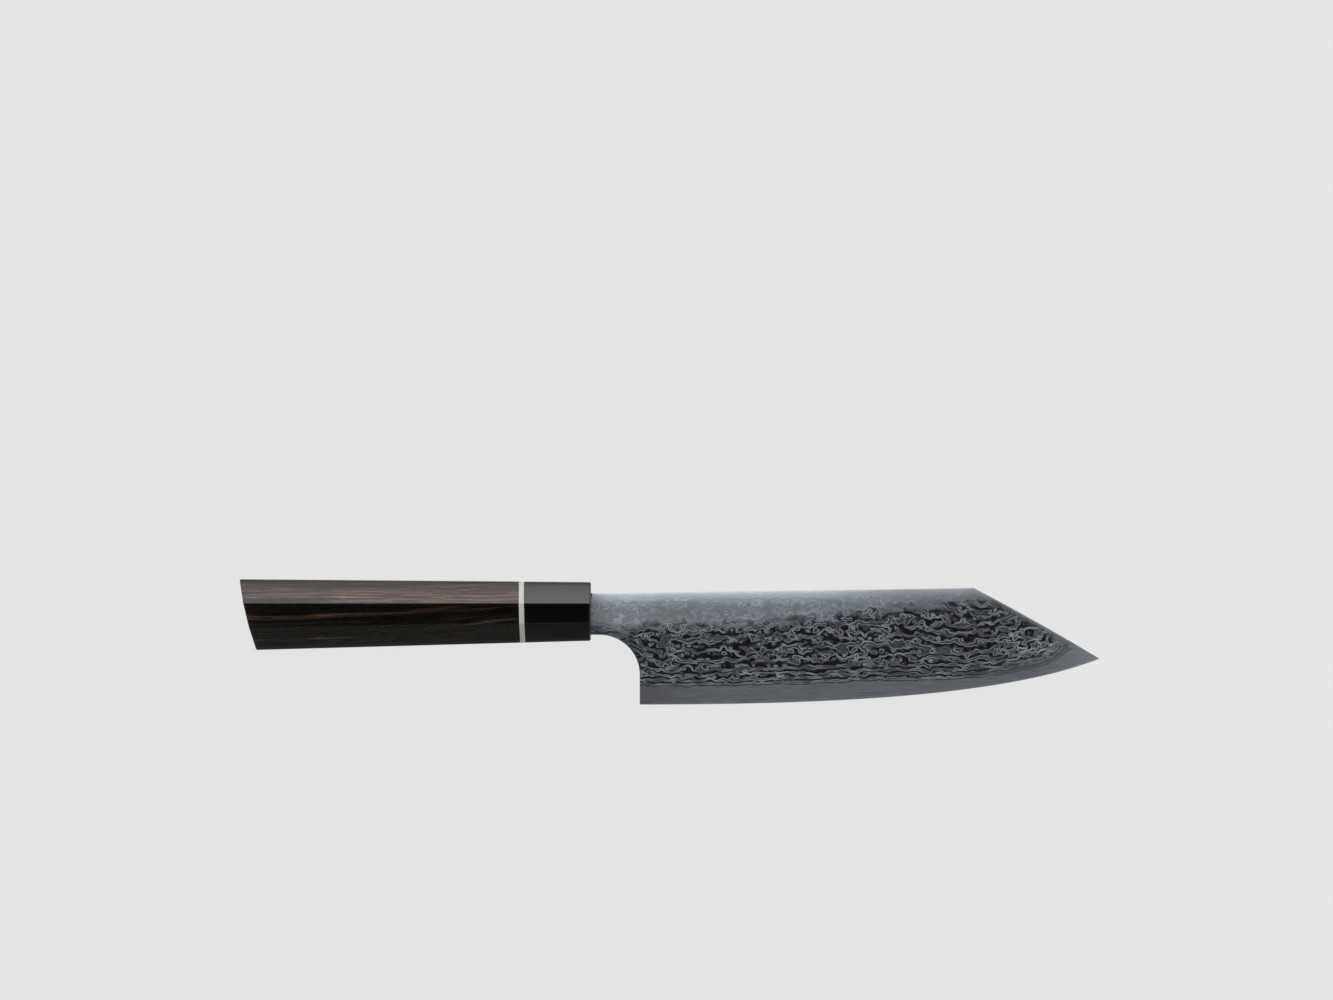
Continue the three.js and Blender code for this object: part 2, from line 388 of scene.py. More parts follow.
class NodeSheet:
    """Short words for adding and linking the nodes of one tree."""

    def __init__(self, tree: bpy.types.NodeTree) -> None:
        """Takes over a tree and clears it.

        Args:
            tree: Tree of a material or of the world.
        """
        tree.nodes.clear()
        self.tree = tree

    def add(self, kind: str, **settings: Any) -> bpy.types.Node:
        """Adds a node.

        Args:
            kind: Blender's name of the node.
            settings: Properties to set on it.

        Returns:
            The node.
        """
        node = self.tree.nodes.new(kind)
        for name, value in settings.items():
            setattr(node, name, value)
        return node

    def feed(self, socket: Socket, value: Feed) -> None:
        """Links a socket into an input, or sets a plain value on it.

        Args:
            socket: The input.
            value: What it takes.
        """
        if isinstance(value, Socket):
            self.tree.links.new(value, socket)
        else:
            socket.default_value = value

    def work(self, kind: str, work: Maths, values: Sequence[Feed]) -> Socket:
        """Adds a node of arithmetic.

        Args:
            kind: Blender's name of the node.
            work: What is done.
            values: Its inputs in order.

        Returns:
            The result.
        """
        node = self.add(kind, operation=work.value)
        for socket, value in zip(node.inputs, values):
            self.feed(socket, value)
        return node.outputs[0]

    def maths(self, work: Maths, *values: Feed) -> Socket:
        """Returns the result of arithmetic on numbers."""
        return self.work("ShaderNodeMath", work, values)

    def vector(self, work: Maths, *values: Feed) -> Socket:
        """Returns the result of arithmetic on each coordinate of vectors."""
        return self.work("ShaderNodeVectorMath", work, values)

    def product(self, first: Feed, second: Feed) -> Socket:
        """Returns the product of two numbers."""
        return self.maths(Maths.MULTIPLY, first, second)

    def millimetres(self) -> Socket:
        """Returns the drawing's coordinates of the shaded point, in millimetres."""
        place = self.add("ShaderNodeTexCoord").outputs["Object"]
        return self.vector(Maths.DIVIDE, place, (MILLIMETRE, MILLIMETRE, MILLIMETRE))

    def split(self, vector: Socket) -> tuple[Socket, ...]:
        """Takes a vector apart.

        Args:
            vector: The vector.

        Returns:
            Its three coordinates.
        """
        node = self.add("ShaderNodeSeparateXYZ")
        self.feed(node.inputs[0], vector)
        return tuple(node.outputs)

    def noise(self, place: Socket, lumps: Lumps) -> bpy.types.Node:
        """Adds soft noise.

        Args:
            place: Coordinates of the shaded point.
            lumps: Size and make of the noise.

        Returns:
            The noise node.
        """
        scaled = self.vector(Maths.DIVIDE, place, lumps.size)
        moved = self.vector(Maths.ADD, scaled, lumps.shift)
        node = self.add("ShaderNodeTexNoise")
        self.feed(node.inputs["Vector"], moved)
        node.inputs["Scale"].default_value = 1.0
        node.inputs["Detail"].default_value = lumps.detail
        node.inputs["Roughness"].default_value = lumps.roughness
        return node

    def soft(self, place: Socket, lumps: Lumps) -> Socket:
        """Returns soft noise as a number from 0 to 1."""
        return self.noise(place, lumps).outputs["Fac"]

    def swing(self, place: Socket, lumps: Lumps, reach: float) -> Socket:
        """Returns soft noise as a number that swings round zero."""
        return self.maths(Maths.MULTIPLY_ADD, self.soft(place, lumps), 2 * reach, -reach)

    def sway(self, place: Socket, lumps: Lumps, reach: Point3) -> Socket:
        """Adds soft noise that shifts a place to and fro.

        Args:
            place: Coordinates of the shaded point.
            lumps: Size and make of the noise.
            reach: Whole length of the swing along each coordinate.

        Returns:
            The shift, a vector that swings round zero.
        """
        colour = self.noise(place, lumps).outputs["Color"]
        turned = self.vector(Maths.SUBTRACT, colour, (0.5, 0.5, 0.5))
        return self.vector(Maths.MULTIPLY, turned, reach)

    def cells(self, place: Socket, size: Point3) -> tuple[Socket, Socket]:
        """Scatters points and gives each a number of its own.

        Args:
            place: Coordinates of the shaded point.
            size: Distance between the points along each coordinate.

        Returns:
            The distance from the nearest point, as a share of that size, and its number from 0 to 1.
        """
        node = self.add("ShaderNodeTexVoronoi")
        self.feed(node.inputs["Vector"], self.vector(Maths.DIVIDE, place, size))
        node.inputs["Scale"].default_value = 1.0
        return node.outputs["Distance"], self.split(node.outputs["Color"])[0]

    def attribute(self, name: str) -> Socket:
        """Returns a number that the mesh keeps on its vertices."""
        return self.add("ShaderNodeAttribute", attribute_name=name).outputs["Fac"]

    def span(self, value: Feed, low: Feed, high: Feed, to_low: Feed = 0.0, to_high: Feed = 1.0) -> Socket:
        """Maps a span of a value smoothly to another span.

        Args:
            value: Value to map.
            low: Where the span starts.
            high: Where it ends.
            to_low: Result at the start and before it.
            to_high: Result at the end and past it.

        Returns:
            The mapped value.
        """
        node = self.add("ShaderNodeMapRange", interpolation_type="SMOOTHSTEP")
        inputs = {"Value": value, "From Min": low, "From Max": high, "To Min": to_low, "To Max": to_high}
        for name, given in inputs.items():
            self.feed(node.inputs[name], given)
        return node.outputs["Result"]

    def through(self, value: Feed, span: Span) -> Socket:
        """Returns what a given span makes of a value."""
        return self.span(value, span.low, span.high, span.to_low, span.to_high)

    def ramp(self, value: Socket, stops: Sequence[Point2]) -> Socket:
        """Adds a ramp of greys.

        Args:
            value: Position on the ramp, from 0 to 1.
            stops: Positions and grey levels.

        Returns:
            The grey level.
        """
        node = self.add("ShaderNodeValToRGB")
        elements = node.color_ramp.elements
        elements.remove(elements[1])
        for i, (position, grey) in enumerate(stops):
            element = elements[0] if i == 0 else elements.new(position)
            element.position = position
            element.color = (grey, grey, grey, 1.0)
        self.feed(node.inputs[0], value)
        return node.outputs["Color"]

    def blend(self, share: Feed, first: Feed, second: Feed) -> Socket:
        """Mixes two colours.

        Args:
            share: Share of the second colour.
            first: First colour.
            second: Second colour.

        Returns:
            The mixed colour.
        """
        node = self.add("ShaderNodeMix", data_type="RGBA")
        self.feed(node.inputs[0], share)
        for number, colour in zip(MIX_COLOURS, (first, second)):
            self.feed(node.inputs[number], colour if isinstance(colour, Socket) else (*colour, 1.0))
        return node.outputs[MIX_RESULT]

    def tint(self, colour: Feed, strength: Feed) -> Socket:
        """Makes a colour stronger or weaker.

        Args:
            colour: The colour, or another vector.
            strength: Number that it is multiplied by.

        Returns:
            The product.
        """
        node = self.add("ShaderNodeVectorMath", operation="SCALE")
        self.feed(node.inputs[0], colour)
        self.feed(node.inputs["Scale"], strength)
        return node.outputs[0]

    def bump(self, height: Socket, depth: float, below: Socket | None = None) -> Socket:
        """Adds fine relief.

        Args:
            height: Relief from 0 to 1.
            depth: Depth of the full relief, in millimetres.
            below: Normal that the relief is laid on.

        Returns:
            The normal.
        """
        node = self.add("ShaderNodeBump")
        node.inputs["Strength"].default_value = 1.0
        node.inputs["Distance"].default_value = depth * MILLIMETRE
        self.feed(node.inputs["Height"], height)
        if below is not None:
            self.feed(node.inputs["Normal"], below)
        return node.outputs["Normal"]

    def surface(self, **sockets: Feed) -> None:
        """Adds the surface shader and the material's output.

        Args:
            sockets: Inputs of the shader, with underscores for spaces.
        """
        shader = self.add("ShaderNodeBsdfPrincipled")
        for name, value in sockets.items():
            self.feed(shader.inputs[name.replace("_", " ")], value)
        output = self.add("ShaderNodeOutputMaterial")
        self.tree.links.new(shader.outputs[0], output.inputs["Surface"])


def new_material(name: str) -> tuple[bpy.types.Material, NodeSheet]:
    """Makes an empty material.

    Args:
        name: Name of the finish.

    Returns:
        The material and the sheet that its nodes go on.
    """
    material = bpy.data.materials.new(name)
    material.use_nodes = True
    return material, NodeSheet(material.node_tree)


# Finishes


@dataclass(frozen=True)
class LaminatedSteel:
    """Etched steel of many thin layers round a plain core, as a solid that the grinding cuts through.

    Lengths are in millimetres. The layers lie along the blade, so their height above its middle plane,
    with the waves that the hammer left in them, says which one comes to the surface. They are counted
    in pairs of a dark and a bright one.
    """

    # Core
    core: float = 0.33
    core_blur: float = 0.1
    core_sink: Span = Span(100.0, 160.0, 0.0, 0.08)
    core_sink_end: Span = Span(176.0, 190.0, 1.0, 0.3)

    # Count of the layers
    pitch: float = 0.11
    tip_pitch: float = 0.075
    tip_pitch_along: Point2 = (115.0, 165.0)
    tip_taper: Span = Span(-15.0, 6.0, 0.0, 2.5)
    tip_taper_along: Span = Span(115.0, 160.0)
    slope: float = 0.025
    crowding: float = 2.3
    crowded: float = 0.22
    choil_near: Span = Span(7.0, 0.0)
    choil_up: Span = Span(-21.0, -15.0)
    choil_lines: float = 2.4

    # Waves in the layers
    long_wave: Lumps = Lumps((5.0, 3.6, 2.4), 0.0)
    long_reach: float = 1.0
    short_wave: Lumps = Lumps((2.0, 1.8, 1.6), 0.0, shift=(5.0, 1.0, 2.0))
    short_reach: float = 0.5
    swirl: Lumps = Lumps((2.8, 2.3, 3.0), shift=(3.1, 8.2, 1.4))
    swirl_reach: Point3 = (1.8, 1.2, 0.0)
    dent: Point3 = (2.9, 2.4, 2.4)
    dent_lift: Span = Span(0.45, 0.0, 0.0, 1.2)
    quiet: Lumps = Lumps((32.0, 2.8, 3.0), 0.0)
    quieted: Span = Span(0.37, 0.59, 0.5, 1.2)
    core_calm: Span = Span(0.0, 0.18, 0.5, 1.0)
    choil_calm: Span = Span(0.0, 1.0, 1.0, 0.5)
    probe: float = 0.08

    # Brightness of a layer
    profile: tuple[Point2, ...] = ((0.0, 0.1), (0.28, 0.25), (0.5, 0.17), (0.75, 0.025), (1.0, 0.004))
    tight: Span = Span(0.45, 1.3, 0.0, 0.13)
    line_depth: float = 0.32
    line_width: float = 0.34
    line_fading: Lumps = Lumps((5.0, 2.5, 2.0), shift=(2.0, 6.0, 0.0))
    line_strength: Span = Span(0.35, 0.6, 0.33, 0.9)
    pearl: Point3 = (3.1, 2.5, 2.4)
    pearl_depth: Span = Span(0.55, 0.85)
    pearl_share: Span = Span(0.35, 0.45)
    pearl_glow: Span = Span(0.47, 0.0, 0.0, 0.85)
    pale_reach: Span = Span(140.0, 168.0, 0.08, 0.16)
    pale_share: Span = Span(140.0, 168.0, 0.3, 0.9)
    pale_level: float = 0.2

    # Where the pattern shows
    border_drift: Lumps = Lumps((6.0, 3.0, 3.0), 2.0, shift=(9.0, 4.0, 7.0))
    border_reach: float = 0.12
    border_heel: Span = Span(50.0, 110.0, 0.05, 0.0)
    border_start: Span = Span(90.0, 112.0, 1.06, 1.045)
    border_end: Span = Span(90.0, 112.0, 0.9, 0.96)
    choil_bite: Span = Span(0.0, 0.85, 0.0, 0.85)
    rim_bare: Span = Span(0.1, 1.3)
    rim_fade: Span = Span(0.5, 4.0, 0.6, 0.0)

    # Satin flats, with a painted highlight near the spine and painted light and shade along the blade
    # painted highlight: the flats are paler towards the spine, less so at the neck and towards the front;
    # the same share makes the finish rougher there
    satin: Span = Span(7.0, -3.5, 0.0, 1.3)
    neck_highlight_and_satin: Span = Span(5.0, 30.0, 0.8, 1.0)
    front_highlight_and_satin: Span = Span(85.0, 125.0, 1.0, 0.44)
    wisps: Span = Span(0.5, 5.0, 0.22, 0.66)
    wisp_level: float = 0.25
    # painted light and shade along the flats: lighter near the neck, darker towards the front and at the
    # clip's corner
    neck_painted_highlight: Span = Span(8.0, 30.0, 1.2, 1.0)
    front_painted_shade: Span = Span(80.0, 115.0, 1.0, 0.93)
    corner_painted_shade: Span = Span(144.0, 153.0, 1.0, 0.74)
    # painted shade on the point's grind, away from the clip
    point_ground: Span = Span(1.0, 0.85)
    point_inside: Span = Span(1.0, 3.0)
    point_painted_shade: Span = Span(0.0, 1.0, 1.0, 0.9)
    # painted light: the clad face gets lighter towards the tip
    tip_painted_light: Span = Span(148.0, 190.0, 1.0, 1.45)

    # Bare core, with painted shade at the heel and painted light towards the tip
    haze: Lumps = Lumps((8.0, 0.45, 1.0), 3.0, 0.6)
    hazed: Span = Span(0.3, 0.7, 0.86, 1.14)
    # painted shade at the heel and painted light towards the tip
    core_heel_painted_shade: Span = Span(18.0, 52.0, 0.82, 1.08)
    core_tip_painted_light: Span = Span(172.0, 198.0, 1.0, 1.45)

    # Tones and polish
    dark: Colour = (0.0088, 0.0104, 0.0140)
    bright: Colour = (0.49, 0.53, 0.58)
    core_tone: Colour = (0.193, 0.206, 0.224)
    flat_tone: Colour = (0.335, 0.368, 0.405)
    # painted highlight of the flats near the spine
    spine_highlight_tone: Colour = (0.64, 0.69, 0.745)
    rim_tone: Colour = (0.14, 0.15, 0.163)
    etch_depth: float = 0.006
    brush: Lumps = Lumps((9.0, 0.06, 0.06), 2.0, 0.6)
    brushed: Span = Span(0.3, 0.7, 0.44, 0.54)
    satin_rough: float = 0.15

    def swirled(self, nodes: NodeSheet, place: Socket) -> Socket:
        """Returns the coordinates as the forging swirled the layers."""
        return nodes.vector(Maths.ADD, place, nodes.sway(place, self.swirl, self.swirl_reach))

    def waves(self, nodes: NodeSheet, place: Socket) -> Socket:
        """Finds how far the hammer's waves lift the layers.

        Args:
            nodes: Sheet of the material.
            place: Coordinates in millimetres.

        Returns:
            The lift, in pairs of layers.
        """
        swirled = self.swirled(nodes, place)
        long_wave = nodes.swing(swirled, self.long_wave, self.long_reach)
        short_wave = nodes.swing(swirled, self.short_wave, self.short_reach)
        distance, number = nodes.cells(swirled, self.dent)
        side = nodes.maths(Maths.MULTIPLY_ADD, number, 2.0, -1.0)
        rarer = nodes.product(side, nodes.product(side, side))
        dents = nodes.product(rarer, nodes.through(distance, self.dent_lift))
        return nodes.maths(Maths.ADD, nodes.maths(Maths.ADD, long_wave, short_wave), dents)

    def round_choil(self, nodes: NodeSheet, up: Socket) -> Socket:
        """Returns how strongly the layers follow the choil's arc, from 0 to 1 at the arc itself."""
        near = nodes.through(nodes.attribute("choil_distance"), self.choil_near)
        return nodes.product(near, nodes.through(up, self.choil_up))

    def above_core(self, nodes: NodeSheet, along: Socket, height: Socket) -> Socket:
        """Returns the height above the core, which is a little thinner towards the tip."""
        sunk = nodes.product(nodes.through(along, self.core_sink), nodes.through(along, self.core_sink_end))
        return nodes.maths(Maths.ADD, nodes.maths(Maths.SUBTRACT, height, self.core), sunk)

    def flat_count(self, nodes: NodeSheet, place: Socket, above: Socket, round_choil: Socket) -> Socket:
        """Counts the layers above the core as they would lie without waves.

        Args:
            nodes: Sheet of the material.
            place: Coordinates in millimetres.
            above: Height above the core.
            round_choil: How strongly the layers follow the choil's arc.

        Returns:
            The count of pairs of layers, which crowd at the core.
        """
        along, up, _ = nodes.split(place)
        crowd = nodes.span(above, -self.crowded, self.crowded, -self.crowding, self.crowding)
        per_millimetre = nodes.span(along, *self.tip_pitch_along, 1 / self.pitch, 1 / self.tip_pitch)
        count = nodes.maths(Maths.MULTIPLY_ADD, above, per_millimetre, crowd)
        lifted = nodes.through(up, self.tip_taper)
        tapered = nodes.product(lifted, nodes.through(along, self.tip_taper_along))
        curved = nodes.maths(Maths.MULTIPLY_ADD, round_choil, -self.choil_lines, tapered)
        return nodes.maths(Maths.ADD, count, curved)

    def gradient(
        self, nodes: NodeSheet, place: Socket, above: Socket, strength: Socket, waves: Socket
    ) -> Socket:
        """Finds how fast the layers change over the surface.

        Args:
            nodes: Sheet of the material.
            place: Coordinates in millimetres.
            above: Height above the core.
            strength: Strength of the waves.
            waves: Their lift, in pairs of layers.

        Returns:
            The change in pairs of layers per millimetre.
        """
        most = STEEPEST_STEP * self.crowding / self.crowded
        crowd = nodes.span(above, self.crowded, 0.0, 0.0, most)
        rising = nodes.maths(Maths.MULTIPLY_ADD, crowd, self.slope, self.slope / self.pitch)
        squares = []
        for step, rise in (((self.probe, 0.0, 0.0), 0.0), ((0.0, self.probe, 0.0), rising)):
            probed = self.waves(nodes, nodes.vector(Maths.ADD, place, step))
            moved = nodes.maths(Maths.SUBTRACT, nodes.product(probed, strength), waves)
            side = nodes.maths(Maths.MULTIPLY_ADD, moved, 1 / self.probe, rise)
            squares.append(nodes.product(side, side))
        return nodes.maths(Maths.POWER, nodes.maths(Maths.ADD, *squares), 0.5)

    def pearls(self, nodes: NodeSheet, place: Socket, depth: Socket) -> Socket:
        """Scatters small bright lumps inside the dark layers.

        Args:
            nodes: Sheet of the material.
            place: Coordinates in millimetres.
            depth: Depth in the pair of layers, from 0 in the bright one to 1 in the dark one.

        Returns:
            The glow of the lumps.
        """
        distance, number = nodes.cells(self.swirled(nodes, place), self.pearl)
        deep = nodes.through(depth, self.pearl_depth)
        present = nodes.product(deep, nodes.through(number, self.pearl_share))
        return nodes.product(present, nodes.through(distance, self.pearl_glow))

    def bright_lines(self, nodes: NodeSheet, place: Socket, depth: Socket, gradient: Socket) -> Socket:
        """Finds the bright lines between the layers.

        Args:
            nodes: Sheet of the material.
            place: Coordinates in millimetres.
            depth: Depth in the pair of layers, from 0 in the bright one to 1 in the dark one.
            gradient: Change in pairs of layers per millimetre.

        Returns:
            The glow of the lines, which are equally wide wherever they run.
        """
        off = nodes.maths(Maths.ABSOLUTE, nodes.maths(Maths.SUBTRACT, depth, self.line_depth))
        away = nodes.maths(Maths.DIVIDE, off, nodes.product(gradient, 2.0))
        strength = nodes.through(nodes.soft(place, self.line_fading), self.line_strength)
        return nodes.product(nodes.span(away, self.line_width, 0.0), strength)

    def paled(self, nodes: NodeSheet, along: Socket, above: Socket, share: Socket) -> Socket:
        """Pales the layers towards the core, most of all near the tip.

        Args:
            nodes: Sheet of the material.
            along: Place along the knife.
            above: Height above the core.
            share: Brightness of the layer.

        Returns:
            The paled brightness.
        """
        reach = nodes.through(along, self.pale_reach)
        pale = nodes.span(above, reach, 0.0, 0.0, nodes.through(along, self.pale_share))
        missing = nodes.maths(Maths.SUBTRACT, self.pale_level, share)
        return nodes.maths(Maths.MULTIPLY_ADD, pale, missing, share)

    def layers(self, nodes: NodeSheet, place: Socket, height: Socket) -> tuple[Socket, Socket]:
        """Finds which layer comes to the surface.

        Args:
            nodes: Sheet of the material.
            place: Coordinates in millimetres.
            height: Height above the blade's middle plane.

        Returns:
            The count of pairs of layers above the core, and the brightness of the layer from 0 to 1.
        """
        along, up, _ = nodes.split(place)
        above = self.above_core(nodes, along, height)
        round_choil = self.round_choil(nodes, up)
        calm = nodes.through(above, self.core_calm)
        bent = nodes.product(calm, nodes.through(round_choil, self.choil_calm))
        strength = nodes.product(bent, nodes.through(nodes.soft(place, self.quiet), self.quieted))
        waves = nodes.product(self.waves(nodes, place), strength)
        phase = nodes.maths(Maths.ADD, self.flat_count(nodes, place, above, round_choil), waves)
        gradient = self.gradient(nodes, place, above, strength, waves)

        middle = nodes.maths(Maths.SUBTRACT, nodes.maths(Maths.FRACTION, phase), 0.5)
        depth = nodes.product(nodes.maths(Maths.ABSOLUTE, middle), 2.0)
        lines = self.bright_lines(nodes, place, depth, gradient)
        light = nodes.maths(Maths.MAXIMUM, lines, self.pearls(nodes, place, depth))
        tight = nodes.through(gradient, self.tight)
        filled = nodes.maths(Maths.MAXIMUM, nodes.ramp(depth, self.profile), tight)
        share = nodes.maths(Maths.MAXIMUM, filled, light)
        return phase, self.paled(nodes, along, above, share)

    def etching(self, nodes: NodeSheet, place: Socket, off_rim: Socket) -> Socket:
        """Finds where the etched pattern shows.

        Args:
            nodes: Sheet of the material.
            place: Coordinates in millimetres.
            off_rim: Distance from the spine or the clip.

        Returns:
            The strength of the pattern, from 0 on the satin flats to 1 on the ground face.
        """
        along, up, _ = nodes.split(place)
        drift = nodes.swing(place, self.border_drift, self.border_reach)
        lowered = nodes.maths(Maths.ADD, drift, nodes.through(along, self.border_heel))
        ground = nodes.maths(Maths.ADD, nodes.attribute("main_grind"), lowered)
        start = nodes.through(along, self.border_start)
        end = nodes.through(along, self.border_end)
        at_choil = nodes.through(self.round_choil(nodes, up), self.choil_bite)
        bitten = nodes.maths(Maths.MAXIMUM, nodes.span(ground, start, end), at_choil)
        return nodes.product(bitten, nodes.through(off_rim, self.rim_bare))

    def flats(
        self, nodes: NodeSheet, along: Socket, off_rim: Socket, share: Socket
    ) -> tuple[Socket, Socket]:
        """Finds the tone of the flats, with a painted highlight near the spine and painted light and shade
        along the blade.

        Args:
            nodes: Sheet of the material.
            along: Place along the knife.
            off_rim: Distance from the spine or the clip.
            share: Brightness of the layer, which shows through as faint wisps.

        Returns:
            The tone, and how much of the painted highlight near the spine is in it, which also makes the
            finish rougher there.
        """
        # painted highlight near the spine, weaker at the neck and towards the front
        near = nodes.through(nodes.attribute("spine_distance"), self.satin)
        for dimming in (self.neck_highlight_and_satin, self.front_highlight_and_satin):
            near = nodes.product(near, nodes.through(along, dimming))
        tone = nodes.blend(near, self.flat_tone, self.spine_highlight_tone)

        wisp = nodes.maths(Maths.SUBTRACT, share, self.wisp_level)
        shade = nodes.maths(Maths.MULTIPLY_ADD, wisp, nodes.through(off_rim, self.wisps), 1.0)
        # painted highlight near the neck, painted shade towards the front and at the clip's corner
        for change in (self.neck_painted_highlight, self.front_painted_shade, self.corner_painted_shade):
            shade = nodes.product(shade, nodes.through(along, change))
        # painted shade where the point's grind tilts the face
        ground = nodes.through(nodes.attribute("tip_grind"), self.point_ground)
        point = nodes.product(ground, nodes.through(off_rim, self.point_inside))
        shade = nodes.product(shade, nodes.through(point, self.point_painted_shade))
        return nodes.tint(tone, shade), near

    def bare_core(self, nodes: NodeSheet, place: Socket, along: Socket) -> Socket:
        """Colours the bare core, hazed along the edge, with painted shade at the heel and painted light
        towards the tip.

        Args:
            nodes: Sheet of the material.
            place: Coordinates in millimetres.
            along: Place along the knife.

        Returns:
            The tone.
        """
        haze = nodes.through(nodes.soft(place, self.haze), self.hazed)
        # painted shade at the heel, painted light towards the tip
        painted_light_along = nodes.product(nodes.through(along, self.core_heel_painted_shade), nodes.through(along, self.core_tip_painted_light))
        return nodes.tint(self.core_tone, nodes.product(haze, painted_light_along))

    def material(self, name: str) -> bpy.types.Material:
        """Makes the finish.

        Args:
            name: Name of the finish.

        Returns:
            The material.
        """
        material, nodes = new_material(name)
        place = nodes.millimetres()
        along, _, across = nodes.split(place)
        phase, share = self.layers(nodes, place, nodes.maths(Maths.ABSOLUTE, across))
        off_rim = nodes.attribute("rim_distance")
        etched = self.etching(nodes, place, off_rim)
        pattern = nodes.blend(share, self.dark, self.bright)
        layers = nodes.blend(nodes.through(off_rim, self.rim_fade), pattern, self.rim_tone)
        flats, near = self.flats(nodes, along, off_rim, share)
        clad = nodes.blend(etched, flats, layers)
        # painted light towards the tip
        lighter = nodes.tint(clad, nodes.through(along, self.tip_painted_light))
        inside = nodes.span(phase, self.core_blur, -self.core_blur)
        rough = nodes.through(nodes.soft(place, self.brush), self.brushed)
        nodes.surface(
            Base_Color=nodes.blend(inside, lighter, self.bare_core(nodes, place, along)),
            Metallic=1.0,
            Roughness=nodes.maths(Maths.MULTIPLY_ADD, near, self.satin_rough, rough),
            Normal=nodes.bump(nodes.product(share, etched), self.etch_depth),
        )
        return material


@dataclass(frozen=True)
class Vein:
    """One vein of the wood, in millimetres.

    It has a level across the grain, a half width with a solid share in its middle, a strength, and the two
    places along the handle between which it grows.
    """

    level: float
    half: float
    strength: float
    faded: float
    full: float
    solid: float = 0.2

    def share(self, nodes: NodeSheet, level: Socket, along: Socket) -> Socket:
        """Finds how strongly the vein colours a place.

        Args:
            nodes: Sheet of the material.
            level: Level across the grain.
            along: Place along the handle.

        Returns:
            The strength, which is 0 outside the vein.
        """
        off = nodes.maths(Maths.ABSOLUTE, nodes.maths(Maths.SUBTRACT, level, self.level))
        body = nodes.span(off, self.half, self.solid * self.half, 0.0, self.strength)
        return nodes.product(body, nodes.span(along, self.faded, self.full))


@dataclass(frozen=True)
class WoodPoint:
    """Coordinates and noises of the wood at the shaded point."""

    place: Socket
    along: Socket
    up: Socket
    across: Socket
    grown: Socket
    streaks: Socket
    fibres: Socket
    fading: Socket


